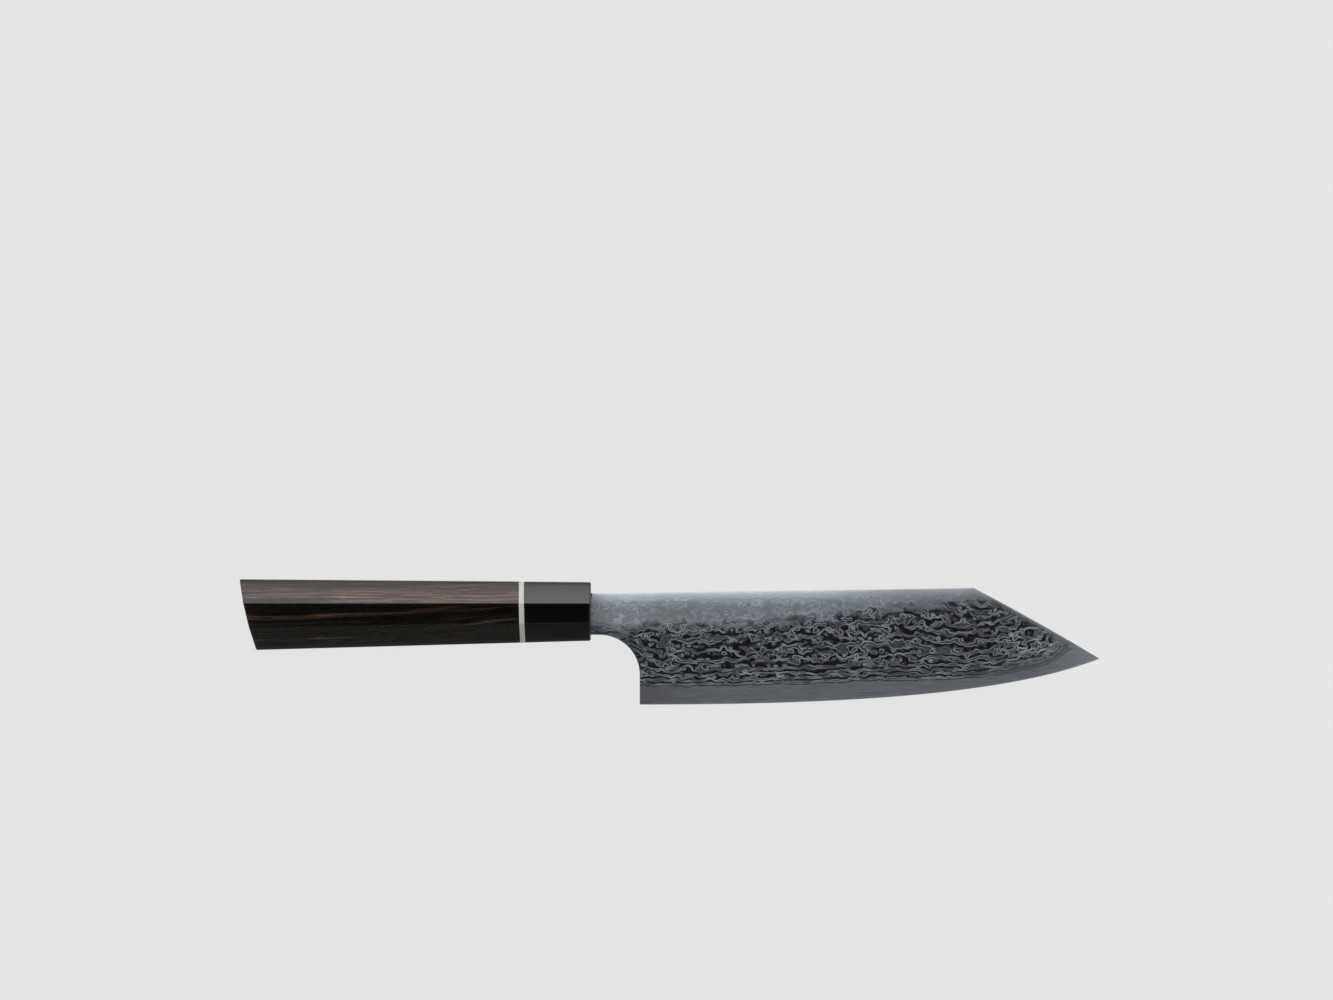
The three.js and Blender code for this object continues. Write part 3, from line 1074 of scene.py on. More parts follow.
@dataclass(frozen=True)
class StreakedWood:
    """Near-black hardwood with climbing brown veins and a painted brown sheen near the spine, in a soft
    gloss.

    Lengths are in millimetres. The painted sheen near the spine lies in slanting bands, each given by
    its place and its strength.
    """

    # Tones
    dark: Colour = (0.0006, 0.0003, 0.0001)
    brown: Colour = (0.0065, 0.0035, 0.0010)
    red: Colour = (0.050, 0.0270, 0.0140)
    pale: Colour = (0.11, 0.075, 0.055)
    # painted sheen: brown of the lit upper facets
    painted_sheen_tone: Colour = (0.056, 0.032, 0.0235)
    olive: Colour = (0.0040, 0.0033, 0.0008)

    # Grain
    grain_start: float = -134.4
    grain_rise: Point2 = (0.0004, 0.015)
    grain_below: Span = Span(3.4, 5.4, 1.0, 0.0)
    wander: Lumps = Lumps((26.0, 5.0, 6.0), shift=(2.0, 0.0, 5.0))
    wander_reach: Point3 = (0.0, 1.2, 1.8)
    streaks: Lumps = Lumps((38.0, 0.42, 0.7), 2.0, 0.6, (4.0, 1.0, 6.0))
    fibres: Lumps = Lumps((14.0, 0.16, 0.2), 2.0, 0.65)
    fading: Lumps = Lumps((24.0, 1.6, 3.0), shift=(8.0, 2.0, 3.0))
    fine: Lumps = Lumps((60.0, 0.3, 0.45), 2.0, 0.6, (1.0, 5.0, 2.0))

    # Near-black wood
    stray_streaks: Span = Span(0.48, 0.68)
    stray_fading: Span = Span(0.4, 0.6)
    lower_arris: Point2 = (-0.0156, 3.0)
    lower_facet: Span = Span(0.0, -0.9)
    dull_streaks: Span = Span(0.4, 0.64, 0.0, 2.5)

    # Veins
    veins: tuple[Vein, ...] = (
        Vein(-1.2, 1.1, 0.85, -46.0, -60.0),
        Vein(-3.9, 0.7, 0.22, -78.0, -92.0),
        Vein(-10.1, 0.6, 3.2, -88.0, -104.0),
        Vein(-2.6, 0.7, 0.35, -62.0, -46.0),
        Vein(-5.4, 0.6, 0.3, -62.0, -46.0),
        Vein(-7.7, 0.8, 1.5, -68.0, -50.0),
    )
    vein_fading: Span = Span(0.32, 0.6, 0.35, 1.0)
    vein_streaks: Span = Span(0.43, 0.58, 0.08, 1.25)
    vein_fibres: Span = Span(0.5, 0.72)

    # Painted sheen: brown on the lit upper facets, in slanting bands, with the wood's pale flecks and
    # hairline in it
    bands_from: float = -4.2
    bands_reach: float = 16.4
    bands: tuple[Point2, ...] = (
        (0.0, 0.72), (0.07, 0.78), (0.22, 0.94), (0.35, 0.7),
        (0.47, 0.3), (0.62, 0.22), (0.72, 0.6), (1.0, 0.65),
    )
    black_band: Span = Span(-1.3, -2.3)
    black_place: Span = Span(-92.0, -118.0)
    band_fine: Span = Span(0.36, 0.66, 0.0, 2.6)
    band_streaks: Span = Span(0.36, 0.66, 0.3, 1.8)
    fleck_fine: Span = Span(0.58, 0.7)
    fleck_fibres: Span = Span(0.5, 0.66)
    hairline: Vein = Vein(-0.2, 0.3, 0.55, -104.0, -116.0)

    # Where the painted sheen starts
    sheen_height: Span = Span(4.1, 4.9)
    sheen_arch: float = 3.0
    sheen_half: float = 10.5
    # wobble of the painted sheen's border
    ring: Lumps = Lumps((70.0, 4.0, 4.0), 2.0, 0.6, (3.0, 7.0, 1.0))
    sheen_border_reach: float = 0.35

    # Pores and polish
    pores: Lumps = Lumps((3.2, 0.11, 0.11), shift=(7.0, 7.0, 0.0))
    open_pores: Span = Span(0.62, 0.72)
    pore_depth: float = 0.008
    grain_depth: float = 0.007
    polish: Span = Span(0.3, 0.7, 0.2, 0.3)
    gloss: float = 0.39

    def along_grain(self, nodes: NodeSheet, place: Socket) -> Socket:
        """Straightens the grain.

        Args:
            nodes: Sheet of the material.
            place: Coordinates in millimetres.

        Returns:
            The coordinates with the grain's upward curve and its wander taken out.
        """
        along, up, _ = nodes.split(place)
        reach = nodes.maths(Maths.SUBTRACT, along, self.grain_start)
        curve = nodes.product(reach, nodes.maths(Maths.MULTIPLY_ADD, reach, *self.grain_rise))
        rise = nodes.product(curve, nodes.through(up, self.grain_below))
        straight = nodes.vector(Maths.SUBTRACT, place, nodes.tint((0.0, 1.0, 0.0), rise))
        return nodes.vector(Maths.ADD, straight, nodes.sway(place, self.wander, self.wander_reach))

    def point(self, nodes: NodeSheet) -> WoodPoint:
        """Finds what the finish goes by at the shaded point.

        Args:
            nodes: Sheet of the material.

        Returns:
            The coordinates and noises.
        """
        place = nodes.millimetres()
        grown = self.along_grain(nodes, place)
        noises = [nodes.soft(grown, lumps) for lumps in (self.streaks, self.fibres, self.fading)]
        return WoodPoint(place, *nodes.split(place), grown, *noises)

    def heart(self, nodes: NodeSheet, here: WoodPoint) -> Socket:
        """Colours the near-black wood, with stray streaks that turn olive on the lower facet.

        Args:
            nodes: Sheet of the material.
            here: The shaded point.

        Returns:
            The tone.
        """
        streaked = nodes.through(here.streaks, self.stray_streaks)
        strayed = nodes.product(streaked, nodes.through(here.fading, self.stray_fading))
        cheek = nodes.blend(strayed, self.dark, self.brown)
        arris = nodes.maths(Maths.MULTIPLY_ADD, here.along, *self.lower_arris)
        below = nodes.maths(Maths.ADD, here.up, arris)
        dull = nodes.tint(self.olive, nodes.through(here.streaks, self.dull_streaks))
        return nodes.blend(nodes.through(below, self.lower_facet), cheek, dull)

    def veined(self, nodes: NodeSheet, here: WoodPoint) -> Socket:
        """Colours the near-black wood with its veins, whose fibres are paler.

        Args:
            nodes: Sheet of the material.
            here: The shaded point.

        Returns:
            The tone.
        """
        level = nodes.split(here.grown)[1]
        share = self.veins[0].share(nodes, level, here.along)
        for vein in self.veins[1:]:
            share = nodes.maths(Maths.MAXIMUM, share, vein.share(nodes, level, here.along))
        strong = nodes.product(share, nodes.through(here.fading, self.vein_fading))
        lined = nodes.product(strong, nodes.through(here.streaks, self.vein_streaks))
        lit = nodes.product(lined, nodes.through(here.fibres, self.vein_fibres))
        return nodes.blend(lit, nodes.blend(lined, self.heart(nodes, here), self.red), self.pale)

    def sheen_bands(self, nodes: NodeSheet, along: Socket, band: Socket) -> Socket:
        """Finds how strong the painted sheen near the spine is.

        Args:
            nodes: Sheet of the material.
            along: Place along the handle.
            band: Place across its slanting bands.

        Returns:
            The strength of the painted sheen, from 0 to 1.
        """
        start = -self.bands_from / self.bands_reach
        share = nodes.maths(Maths.MULTIPLY_ADD, band, 1 / self.bands_reach, start)
        black = nodes.product(nodes.through(band, self.black_band), nodes.through(along, self.black_place))
        return nodes.product(nodes.ramp(share, self.bands), nodes.maths(Maths.SUBTRACT, 1.0, black))

    def painted_sheen(self, nodes: NodeSheet, here: WoodPoint) -> Socket:
        """Paints the brown sheen of the upper facets near the spine, with the wood's pale flecks and one
        pale hairline in it.

        Args:
            nodes: Sheet of the material.
            here: The shaded point.

        Returns:
            The tone.
        """
        band = nodes.product(nodes.maths(Maths.SUBTRACT, here.up, here.across), math.sqrt(0.5))
        fine = nodes.soft(here.grown, self.fine)
        streaked = nodes.through(here.streaks, self.band_streaks)
        varied = nodes.product(nodes.through(fine, self.band_fine), streaked)
        # painted sheen, strongest in slanting bands across the upper facets
        sheen_strength = self.sheen_bands(nodes, here.along, band)
        toned = nodes.tint(self.painted_sheen_tone, nodes.product(varied, sheen_strength))
        fibrous = nodes.through(here.fibres, self.fleck_fibres)
        flecks = nodes.product(nodes.through(fine, self.fleck_fine), fibrous)
        flecked = nodes.blend(nodes.product(flecks, sheen_strength), toned, self.pale)
        return nodes.blend(self.hairline.share(nodes, band, here.along), flecked, self.pale)

    def arched(self, nodes: NodeSheet, here: WoodPoint) -> Socket:
        """Bends the height at which the painted sheen starts, so that it arches over the handle.

        Args:
            nodes: Sheet of the material.
            here: The shaded point.

        Returns:
            The bent height.
        """
        square = nodes.product(here.across, here.across)
        bow = self.sheen_arch / self.sheen_half**2
        arch = nodes.maths(Maths.MULTIPLY_ADD, square, bow, -self.sheen_arch)
        # wobble of the painted sheen's border
        ring = nodes.swing(here.place, self.ring, self.sheen_border_reach)
        return nodes.maths(Maths.ADD, here.up, nodes.maths(Maths.ADD, arch, ring))

    def material(self, name: str) -> bpy.types.Material:
        """Makes the finish.

        Args:
            name: Name of the finish.

        Returns:
            The material.
        """
        material, nodes = new_material(name)
        here = self.point(nodes)
        # painted sheen on the upper facets, above an arching border
        border = nodes.through(self.arched(nodes, here), self.sheen_height)
        tone = nodes.blend(border, self.veined(nodes, here), self.painted_sheen(nodes, here))
        pores = nodes.through(nodes.soft(here.grown, self.pores), self.open_pores)
        grain = nodes.bump(here.fibres, self.grain_depth)
        nodes.surface(
            Base_Color=nodes.blend(pores, tone, self.dark),
            Roughness=nodes.through(here.fibres, self.polish),
            Specular_IOR_Level=self.gloss,
            Normal=nodes.bump(nodes.maths(Maths.SUBTRACT, 1.0, pores), self.pore_depth, grain),
        )
        return material


@dataclass(frozen=True)
class TwoToneFinish:
    """Finish of two close tones in soft clouds, with finer lines in its polish and relief.

    The depth of the relief is in millimetres.
    """

    tone: Colour
    cloud: Colour
    clouds: Lumps
    clouded: Span
    lines: Lumps
    polish: Span
    depth: float

    def material(self, name: str) -> bpy.types.Material:
        """Makes the finish.

        Args:
            name: Name of the finish.

        Returns:
            The material.
        """
        material, nodes = new_material(name)
        place = nodes.millimetres()
        clouds = nodes.through(nodes.soft(place, self.clouds), self.clouded)
        lines = nodes.soft(place, self.lines)
        nodes.surface(
            Base_Color=nodes.blend(clouds, self.tone, self.cloud),
            Roughness=nodes.through(lines, self.polish),
            Normal=nodes.bump(lines, self.depth),
        )
        return material


@dataclass(frozen=True)
class BlackFerruleFinish(TwoToneFinish):
    """Polished black wood, dense with resin, with faint lengthwise polishing lines."""

    tone: Colour = (0.0006, 0.0007, 0.0007)
    cloud: Colour = (0.0018, 0.0018, 0.0017)
    clouds: Lumps = Lumps((22.0, 0.35, 0.35), 3.0, 0.6, (1.0, 2.0, 9.0))
    clouded: Span = Span(0.5, 0.75)
    lines: Lumps = Lumps((12.0, 0.09, 0.09), 2.0, 0.6, (6.0, 2.0, 1.0))
    polish: Span = Span(0.3, 0.7, 0.17, 0.24)
    depth: float = 0.002


@dataclass(frozen=True)
class WhiteRingFinish(TwoToneFinish):
    """Off-white moulded ring with faint clouding."""

    tone: Colour = (0.41, 0.405, 0.375)
    cloud: Colour = (0.46, 0.455, 0.43)
    clouds: Lumps = Lumps((1.5, 4.0, 4.0), 3.0, 0.6)
    clouded: Span = Span(0.3, 0.7)
    lines: Lumps = Lumps((0.09, 3.0, 3.0), 2.0, 0.6)
    polish: Span = Span(0.3, 0.7, 0.32, 0.45)
    depth: float = 0.004


@dataclass(frozen=True)
class PlainDowelWood(TwoToneFinish):
    """Pale, bare dowel wood with straight grain."""

    tone: Colour = (0.50, 0.33, 0.17)
    cloud: Colour = (0.33, 0.19, 0.085)
    clouds: Lumps = Lumps((60.0, 0.8, 1.6), 3.0, 0.6)
    clouded: Span = Span(0.35, 0.65)
    lines: Lumps = Lumps((8.0, 0.12, 0.12), 2.0, 0.6)
    polish: Span = Span(0.3, 0.7, 0.6, 0.8)
    depth: float = 0.03


@dataclass(frozen=True)
class BlackAdhesiveFinish(TwoToneFinish):
    """Cast black adhesive with a slightly uneven skin."""

    tone: Colour = (0.004, 0.004, 0.0045)
    cloud: Colour = (0.012, 0.012, 0.013)
    clouds: Lumps = Lumps((0.8, 0.8, 0.8), 3.0, 0.6)
    clouded: Span = Span(0.35, 0.7)
    lines: Lumps = Lumps((0.8, 0.8, 0.8), 3.0, 0.6)
    polish: Span = Span(0.3, 0.7, 0.35, 0.55)
    depth: float = 0.05


# Blade


@dataclass(frozen=True)
class BladeOutline:
    """Side view of the blade, neck and tang, in millimetres."""

    neck_straight: float = 3.45
    neck_height: float = 16.2
    choil_radius: float = 15.75
    heel_back: float = 11.65
    edge_length: float = 180.5
    edge_heel_pull: float = 68.0
    edge_tip_pull: float = 42.0
    edge_tip_angle: float = math.radians(21.6)
    tip_lift: float = 18.0
    clip_length: float = 49.3
    clip_bulge: float = 0.45
    spine_rise: float = 2.1
    tang_length: float = 92.0
    tang_front_height: float = 10.0
    tang_end_height: float = 6.0

    @property
    def choil_centre(self) -> Point2:
        """Centre of the choil's arc."""
        return (self.neck_straight, -self.neck_height / 2 - self.choil_radius)

    @property
    def heel(self) -> Point2:
        """Back corner of the edge."""
        return (self.neck_straight + self.choil_radius, self.choil_centre[1] - self.heel_back)

    @property
    def tip(self) -> Point2:
        """Front end of the edge."""
        return (self.heel[0] + self.edge_length, self.heel[1] + self.tip_lift)

    @property
    def clip_corner(self) -> Point2:
        """Corner where the spine ends and the clip starts."""
        return (self.tip[0] - self.clip_length, self.neck_height / 2 + self.spine_rise)

    def edge(self, x: float) -> float:
        """Finds the cutting edge's height.

        Args:
            x: Place along the knife, from the heel to the tip.

        Returns:
            The height of the edge there.
        """
        heel_x, heel_y = self.heel
        tip_x, tip_y = self.tip
        pull = self.edge_tip_pull
        across = (heel_x, heel_x + self.edge_heel_pull, tip_x - pull * math.cos(self.edge_tip_angle), tip_x)
        up = (heel_y, heel_y, tip_y - pull * math.sin(self.edge_tip_angle), tip_y)

        def cubic(values: Sequence[float], t: float) -> float:
            """Finds one coordinate of the edge's curve.

            Args:
                values: That coordinate of its four control points.
                t: Share of the curve.

            Returns:
                The coordinate.
            """
            a, b, c, d = values
            rest = 1 - t
            return a * rest**3 + 3 * b * rest * rest * t + 3 * c * rest * t * t + d * t**3

        return cubic(up, solve(lambda t: cubic(across, t), x, 0.0, 1.0))

    def clip(self, x: float) -> float:
        """Finds the clip's height.

        Args:
            x: Place along the knife, from the clip's corner to the tip.

        Returns:
            The height of the clip there.
        """
        corner_x, corner_y = self.clip_corner
        tip_x, tip_y = self.tip
        length = math.hypot(tip_x - corner_x, corner_y - tip_y)
        bow = 2 * self.clip_bulge / length
        pull_x = (corner_x + tip_x) / 2 + bow * (corner_y - tip_y)
        pull_y = (corner_y + tip_y) / 2 + bow * (tip_x - corner_x)

        def quadratic(a: float, b: float, c: float, t: float) -> float:
            """Returns one coordinate of the clip's curve."""
            return a * (1 - t) ** 2 + 2 * b * t * (1 - t) + c * t * t

        t = solve(lambda share: quadratic(corner_x, pull_x, tip_x, share), x, 0.0, 1.0)
        return quadratic(corner_y, pull_y, tip_y, t)

    def spine(self, x: float) -> float:
        """Returns the height of the spine's line, which goes on past the clip's corner."""
        corner_x, corner_y = self.clip_corner
        return corner_y - self.spine_rise * (corner_x - x) / corner_x

    def top(self, x: float) -> float:
        """Returns the height of the spine, or of the clip past its corner."""
        return self.clip(x) if x > self.clip_corner[0] else self.spine(x)

    def below_clip(self, x: float, y: float) -> float:
        """Finds how far a point is below the clip's line, which goes on past its corner.

        Args:
            x: Place along the knife.
            y: Place up the blade.

        Returns:
            The distance.
        """
        corner_x, corner_y = self.clip_corner
        tip_x, tip_y = self.tip
        lean = math.atan2(corner_y - tip_y, tip_x - corner_x)
        line = self.clip(x) if x > corner_x else corner_y + (corner_x - x) * math.tan(lean)
        return math.cos(lean) * (line - y)

    def spine_distance(self, x: float, y: float) -> float:
        """Returns how far a point is below the spine's line."""
        return self.spine(x) - y

    def rim_distance(self, x: float, y: float) -> float:
        """Returns how far a point is from the spine or the clip, whichever is nearer."""
        return min(self.spine_distance(x, y), self.below_clip(x, y))

    def choil_distance(self, x: float, y: float) -> float:
        """Returns how far a point is from the neck's underside, the choil's arc or the back of the heel."""
        centre_x, centre_y = self.choil_centre
        return math.hypot(max(x - centre_x, 0.0), max(y - centre_y, 0.0)) - self.choil_radius

    def choil(self, x: float) -> float:
        """Finds the height of the neck's underside and of the choil's arc after it.

        Args:
            x: Place along the knife.

        Returns:
            The height.
        """
        centre_x, centre_y = self.choil_centre
        along = min(max(x - centre_x, 0.0), self.choil_radius)
        return centre_y + math.sqrt(self.choil_radius**2 - along**2)

    def tang_half(self, x: float) -> float:
        """Returns half of the tang's height behind the ferrule's front."""
        share = -x / self.tang_length
        return (self.tang_front_height + (self.tang_end_height - self.tang_front_height) * share) / 2


@dataclass(frozen=True)
class BladeGrind:
    """How the wheel takes the blade down from its flats to the edge, in millimetres."""

    outline: BladeOutline = field(default_factory=BladeOutline)
    half_blade: float = 1.0
    half_core: float = LaminatedSteel.core
    grind_height: float = 33.9
    bevel_height: float = 0.6
    half_bevel: float = 0.17
    half_apex: float = 0.03
    half_tip: float = 0.2
    tip_reach: float = 71.0
    tip_angle: float = math.radians(37)
    crease: float = 0.04
    spine_crown: Point2 = (5.0, 0.3)
    spine_ease: Point2 = (0.7, 0.06)
    clip_ease: Point2 = (1.6, 0.17)
    choil_ease: Point2 = (0.6, 0.15)
    heel_ease: Point2 = (0.3, 0.07)
    ease_growth: float = 4.0
    ease_share: float = 0.45

    @property
    def slope(self) -> float:
        """Rise of one face of the main grind."""
        return (self.half_blade - self.half_bevel) / (self.grind_height - self.bevel_height)

    def run_out(self, x: float) -> float:
        """Finds how far the grind is lifted along the neck, so that it runs out at the ferrule.

        Args:
            x: Place along the knife.

        Returns:
            The lift of one face.
        """
        heel_x, heel_y = self.outline.heel
        missing = self.grind_height - (-self.outline.neck_height / 2 - heel_y)
        return self.slope * missing * max(1 - x / heel_x, 0.0)

    def main_grind(self, x: float, y: float) -> float:
        """Finds the half thickness that the main grind and the honed bevel alone would leave.

        Args:
            x: Place along the knife.
            y: Place up the blade.

        Returns:
            The half thickness, which goes past the blade's own on its flats.
        """
        heel_x, heel_y = self.outline.heel
        above = y - (self.outline.edge(x) if x > heel_x else heel_y)
        if above < self.bevel_height:
            return self.half_apex + (self.half_bevel - self.half_apex) * max(above, 0.0) / self.bevel_height
        return self.half_bevel + self.slope * (above - self.bevel_height) + self.run_out(x)

    def tip_grind(self, x: float, y: float) -> float:
        """Finds the half thickness that the flat grind of the point alone would leave.

        Args:
            x: Place along the knife.
            y: Place up the blade.

        Returns:
            The half thickness.
        """
        tip_x, tip_y = self.outline.tip
        away = (tip_x - x) * math.sin(self.tip_angle) + (y - tip_y) * math.cos(self.tip_angle)
        return self.half_tip + (self.half_blade - self.half_tip) * away / self.tip_reach

    def ground(self, x: float, y: float) -> float:
        """Returns the half thickness that both grinds leave, past the blade's own on its flats."""
        return soft_minimum(self.main_grind(x, y), self.tip_grind(x, y), self.crease)

    def back_ease(self, y: float) -> Point2:
        """Sizes the easing up the back of the heel and round the choil's arc.

        Args:
            y: Place up the blade.

        Returns:
            Its width and depth.
        """
        share = min(max((y - self.outline.choil_centre[1]) / self.ease_growth, 0.0), 1.0)
        width, depth = (low + (high - low) * share for low, high in zip(self.heel_ease, self.choil_ease))
        return width, depth

    def eased(self, x: float, y: float, thickness: float) -> float:
        """Finds what the eased outline takes off a face.

        Args:
            x: Place along the knife.
            y: Place up the blade.
            thickness: Half thickness before easing.

        Returns:
            The height that is lost.
        """
        below_spine = self.outline.spine_distance(x, y)
        parts = (
            (below_spine, self.spine_crown),
            (below_spine, self.spine_ease),
            (self.outline.below_clip(x, y), self.clip_ease),
            (self.outline.choil_distance(x, y), self.back_ease(y)),
        )
        most = self.ease_share * thickness
        return min(sum(min(depth, most) * ease(away, width) for away, (width, depth) in parts), most)

    def surface(self, x: float, y: float) -> float:
        """Finds the height of the blade's face above its middle plane.

        Args:
            x: Place along the knife.
            y: Place up the blade.

        Returns:
            The height.
        """
        if x < 0:
            return self.half_blade
        thickness = soft_minimum(self.ground(x, y), self.half_blade, self.crease)
        return thickness - self.eased(x, y, thickness)

    def core_line(self, x: float) -> float:
        """Finds how far up the core shows.

        Args:
            x: Place along the blade, from the heel to the tip.

        Returns:
            The height where the cladding starts, or that of the outline where none is left.
        """
        bottom = self.outline.edge(x)
        top = self.outline.top(x)
        if self.ground(x, top) <= self.half_core:
            return top
        return solve(lambda y: self.ground(x, y), self.half_core, bottom, top)

    def core_end(self) -> float:
        """Finds where the cladding ends on the clip.

        Returns:
            The place along the knife.
        """
        corner_x = self.outline.clip_corner[0]
        tip_x = self.outline.tip[0]
        return solve(lambda x: -self.ground(x, self.outline.top(x)), -self.half_core, corner_x, tip_x)


@dataclass
class Blade:
    """Core and two claddings of the blade, with the neck and tang that they share.

    Rows run along the blade and columns across it. Shares are of the height between two lines of the
    outline, and other places are in millimetres from the line that they follow.
    """

    grind: BladeGrind = field(default_factory=BladeGrind)
    steel: LaminatedSteel = field(default_factory=LaminatedSteel)
    rim_shares: tuple[float, ...] = (0.0, 0.0015, 0.005, 0.013, 0.025, 0.042)
    lower_shares: tuple[float, ...] = (0.07, 0.12)
    upper_share: float = 0.85
    spine_shares: tuple[float, ...] = (0.0, 0.001, 0.004, 0.011, 0.022, 0.036, 0.055, 0.08, 0.11)
    bevel_rows: tuple[float, ...] = (0.0, 0.3, 0.57, 0.63, 1.4)
    heel_columns: tuple[float, ...] = (0.0, 0.04, 0.12, 0.24, 0.4, 0.8, 1.6)
    clip_rows: tuple[float, ...] = (2.8, 2.2, 1.6, 1.1, 0.7, 0.35, 0.12, 0.0)
    tip_columns: tuple[float, ...] = (4.0, 2.6, 1.6, 0.9, 0.4, 0.0)
    column_step: float = 2.0
    tang_rows: int = 10
    heel_rows: int = 3
    core_rows: int = 2
    tang_steps: int = 8
    neck_steps: int = 3
    arc_steps: int = 16

    def neck_rows(self) -> list[float]:
        """Lays out the rows of the neck, with rows at the tang's edges.

        Returns:
            The rows as shares of the neck's height.
        """
        outline = self.grind.outline
        tang = outline.tang_front_height / outline.neck_height
        low = (1 - tang) / 2
        high = (1 + tang) / 2
        upper = [1 - share for share in reversed(self.spine_shares)]
        tang_shares = steps(low, high, self.tang_rows)
        return [*self.rim_shares, *self.lower_shares, *tang_shares, self.upper_share, *upper]

    def tang_columns(self) -> list[list[Point2]]:
        """Lays out the tang's columns, which share the neck's middle rows.

        Returns:
            The columns of points.
        """
        outline = self.grind.outline
        tang = outline.tang_front_height / outline.neck_height
        shares = [share for share in self.neck_rows() if abs(share - 0.5) <= tang / 2 + MERGE_DISTANCE]
        return [
            [(x, (2 * share - 1) / tang * outline.tang_half(x)) for share in shares]
            for x in steps(-outline.tang_length, 0.0, self.tang_steps)
        ]

    def neck_columns(self) -> list[list[Point2]]:
        """Lays out the columns of the neck and the choil.

        Returns:
            The columns of points.
        """
        outline = self.grind.outline
        straight = steps(0.0, outline.neck_straight, self.neck_steps)[:-1]
        turns = steps(0.0, math.pi / 2, self.arc_steps)
        arc = [outline.neck_straight + outline.choil_radius * math.sin(turn) for turn in turns]
        columns = []
        for x in [*straight, *arc]:
            line = outline.choil(x)
            columns.append([(x, line + share * (outline.top(x) - line)) for share in self.neck_rows()])
        return columns

    def blade_places(self) -> list[float]:
        """Lays out the places of the blade's columns.

        Returns:
            The places from the heel to the tip.
        """
        outline = self.grind.outline
        heel_x = outline.heel[0]
        corner_x = outline.clip_corner[0]
        tip_x = outline.tip[0]
        start = heel_x + self.heel_columns[-1]
        end = tip_x - self.tip_columns[0]
        core_end = self.grind.core_end()
        spans = ((start, corner_x), (corner_x, core_end), (core_end, end))
        places = {*(heel_x + x for x in self.heel_columns), *(tip_x - x for x in self.tip_columns)}
        for low, high in spans:
            places.update(steps(low, high, math.ceil((high - low) / self.column_step)))
        return sorted(places)

    def lower_columns(self) -> list[list[Point2]]:
        """Lays out the columns of the bare core, from the edge up to the cladding.

        Returns:
            The columns of points.
        """
        columns = []
        for x in self.blade_places():
            bottom = self.grind.outline.edge(x)
            line = self.grind.core_line(x)
            room = min((line - bottom) / (self.bevel_rows[-1] + 2 * self.clip_rows[0]), 1.0)
            low = [bottom + room * row for row in self.bevel_rows]
            high = [line - room * row for row in self.clip_rows]
            middle = steps(low[-1], high[0], self.core_rows)
            columns.append([(x, y) for y in [*low[:-1], *middle, *high[1:]]])
        return columns

    def upper_columns(self) -> list[list[Point2]]:
        """Lays out the columns of the clad face, from the core up to the spine or the clip.

        Returns:
            The columns of points.
        """
        outline = self.grind.outline
        heel_x = outline.heel[0]
        heel_line = self.grind.core_line(heel_x)
        level = (outline.choil_centre[1] - heel_line) / (outline.top(heel_x) - heel_line)
        lower = steps(0.0, level, self.heel_rows)[:-1]
        shares = [*lower, *(level + (1 - level) * share for share in self.neck_rows())]
        columns = []
        for x in self.blade_places():
            line = self.grind.core_line(x)
            columns.append([(x, line + share * (outline.top(x) - line)) for share in shares])
        return columns

    def plan(self, with_core: bool) -> Plan:
        """Draws the side view of one layer.

        Args:
            with_core: Whether the bare strip along the edge belongs to it.

        Returns:
            The plan.
        """
        plan = Plan()
        plan.patch(self.tang_columns())
        plan.patch(self.neck_columns())
        plan.patch(self.upper_columns())
        if with_core:
            plan.patch(self.lower_columns())
        return plan

    def core(self) -> MeshDraft:
        """Draws the core, ground through on both faces along the edge.

        Returns:
            The mesh.
        """
        half = self.grind.half_core

        def face(x: float, y: float) -> float:
            """Returns the height of the core's face above the middle plane."""
            return min(self.grind.surface(x, y), half)

        return self.plan(True).thicken(lambda x, y: -face(x, y), face)

    def cladding(self, face: Face) -> MeshDraft:
        """Draws one cladding.

        Args:
            face: Face of the blade that it covers.

        Returns:
            The mesh.
        """
        half = self.grind.half_core
        plan = self.plan(False)
        if face is Face.RIGHT:
            return plan.thicken(lambda x, y: half, lambda x, y: max(self.grind.surface(x, y), half))
        return plan.thicken(lambda x, y: -max(self.grind.surface(x, y), half), lambda x, y: -half)

    def mark_grinding(self, piece: bpy.types.Object) -> None:
        """Keeps on every vertex how deep the grinding goes there, for the etched finish.

        Args:
            piece: A piece of the blade.
        """
        places = [vertex.co / MILLIMETRE for vertex in piece.data.vertices]
        marks = {
            "main_grind": self.grind.main_grind,
            "tip_grind": self.grind.tip_grind,
            "spine_distance": self.grind.outline.spine_distance,
            "rim_distance": self.grind.outline.rim_distance,
            "choil_distance": self.grind.outline.choil_distance,
        }
        for name, mark in marks.items():
            attribute = piece.data.attributes.new(name, "FLOAT", "POINT")
            attribute.data.foreach_set("value", [mark(x, y) for x, y, _ in places])

    def build(self, drawing: Drawing) -> None:
        """Builds and dresses the blade's three layers.

        Args:
            drawing: Place of the drawing frame.
        """
        clad = self.steel.material("clad_steel")
        core = self.steel.material("core_steel")
        right = self.cladding(Face.RIGHT)
        left = self.cladding(Face.LEFT)
        pieces = (
            drawing.place(self.core(), "blade_core", core, "core_steel", "core_steel"),
            drawing.place(right, "blade_cladding_right", clad, "clad_steel", "right_cladding"),
            drawing.place(left, "blade_cladding_left", clad, "clad_steel", "left_cladding"),
        )
        for piece in pieces:
            self.mark_grinding(piece)


# Handle


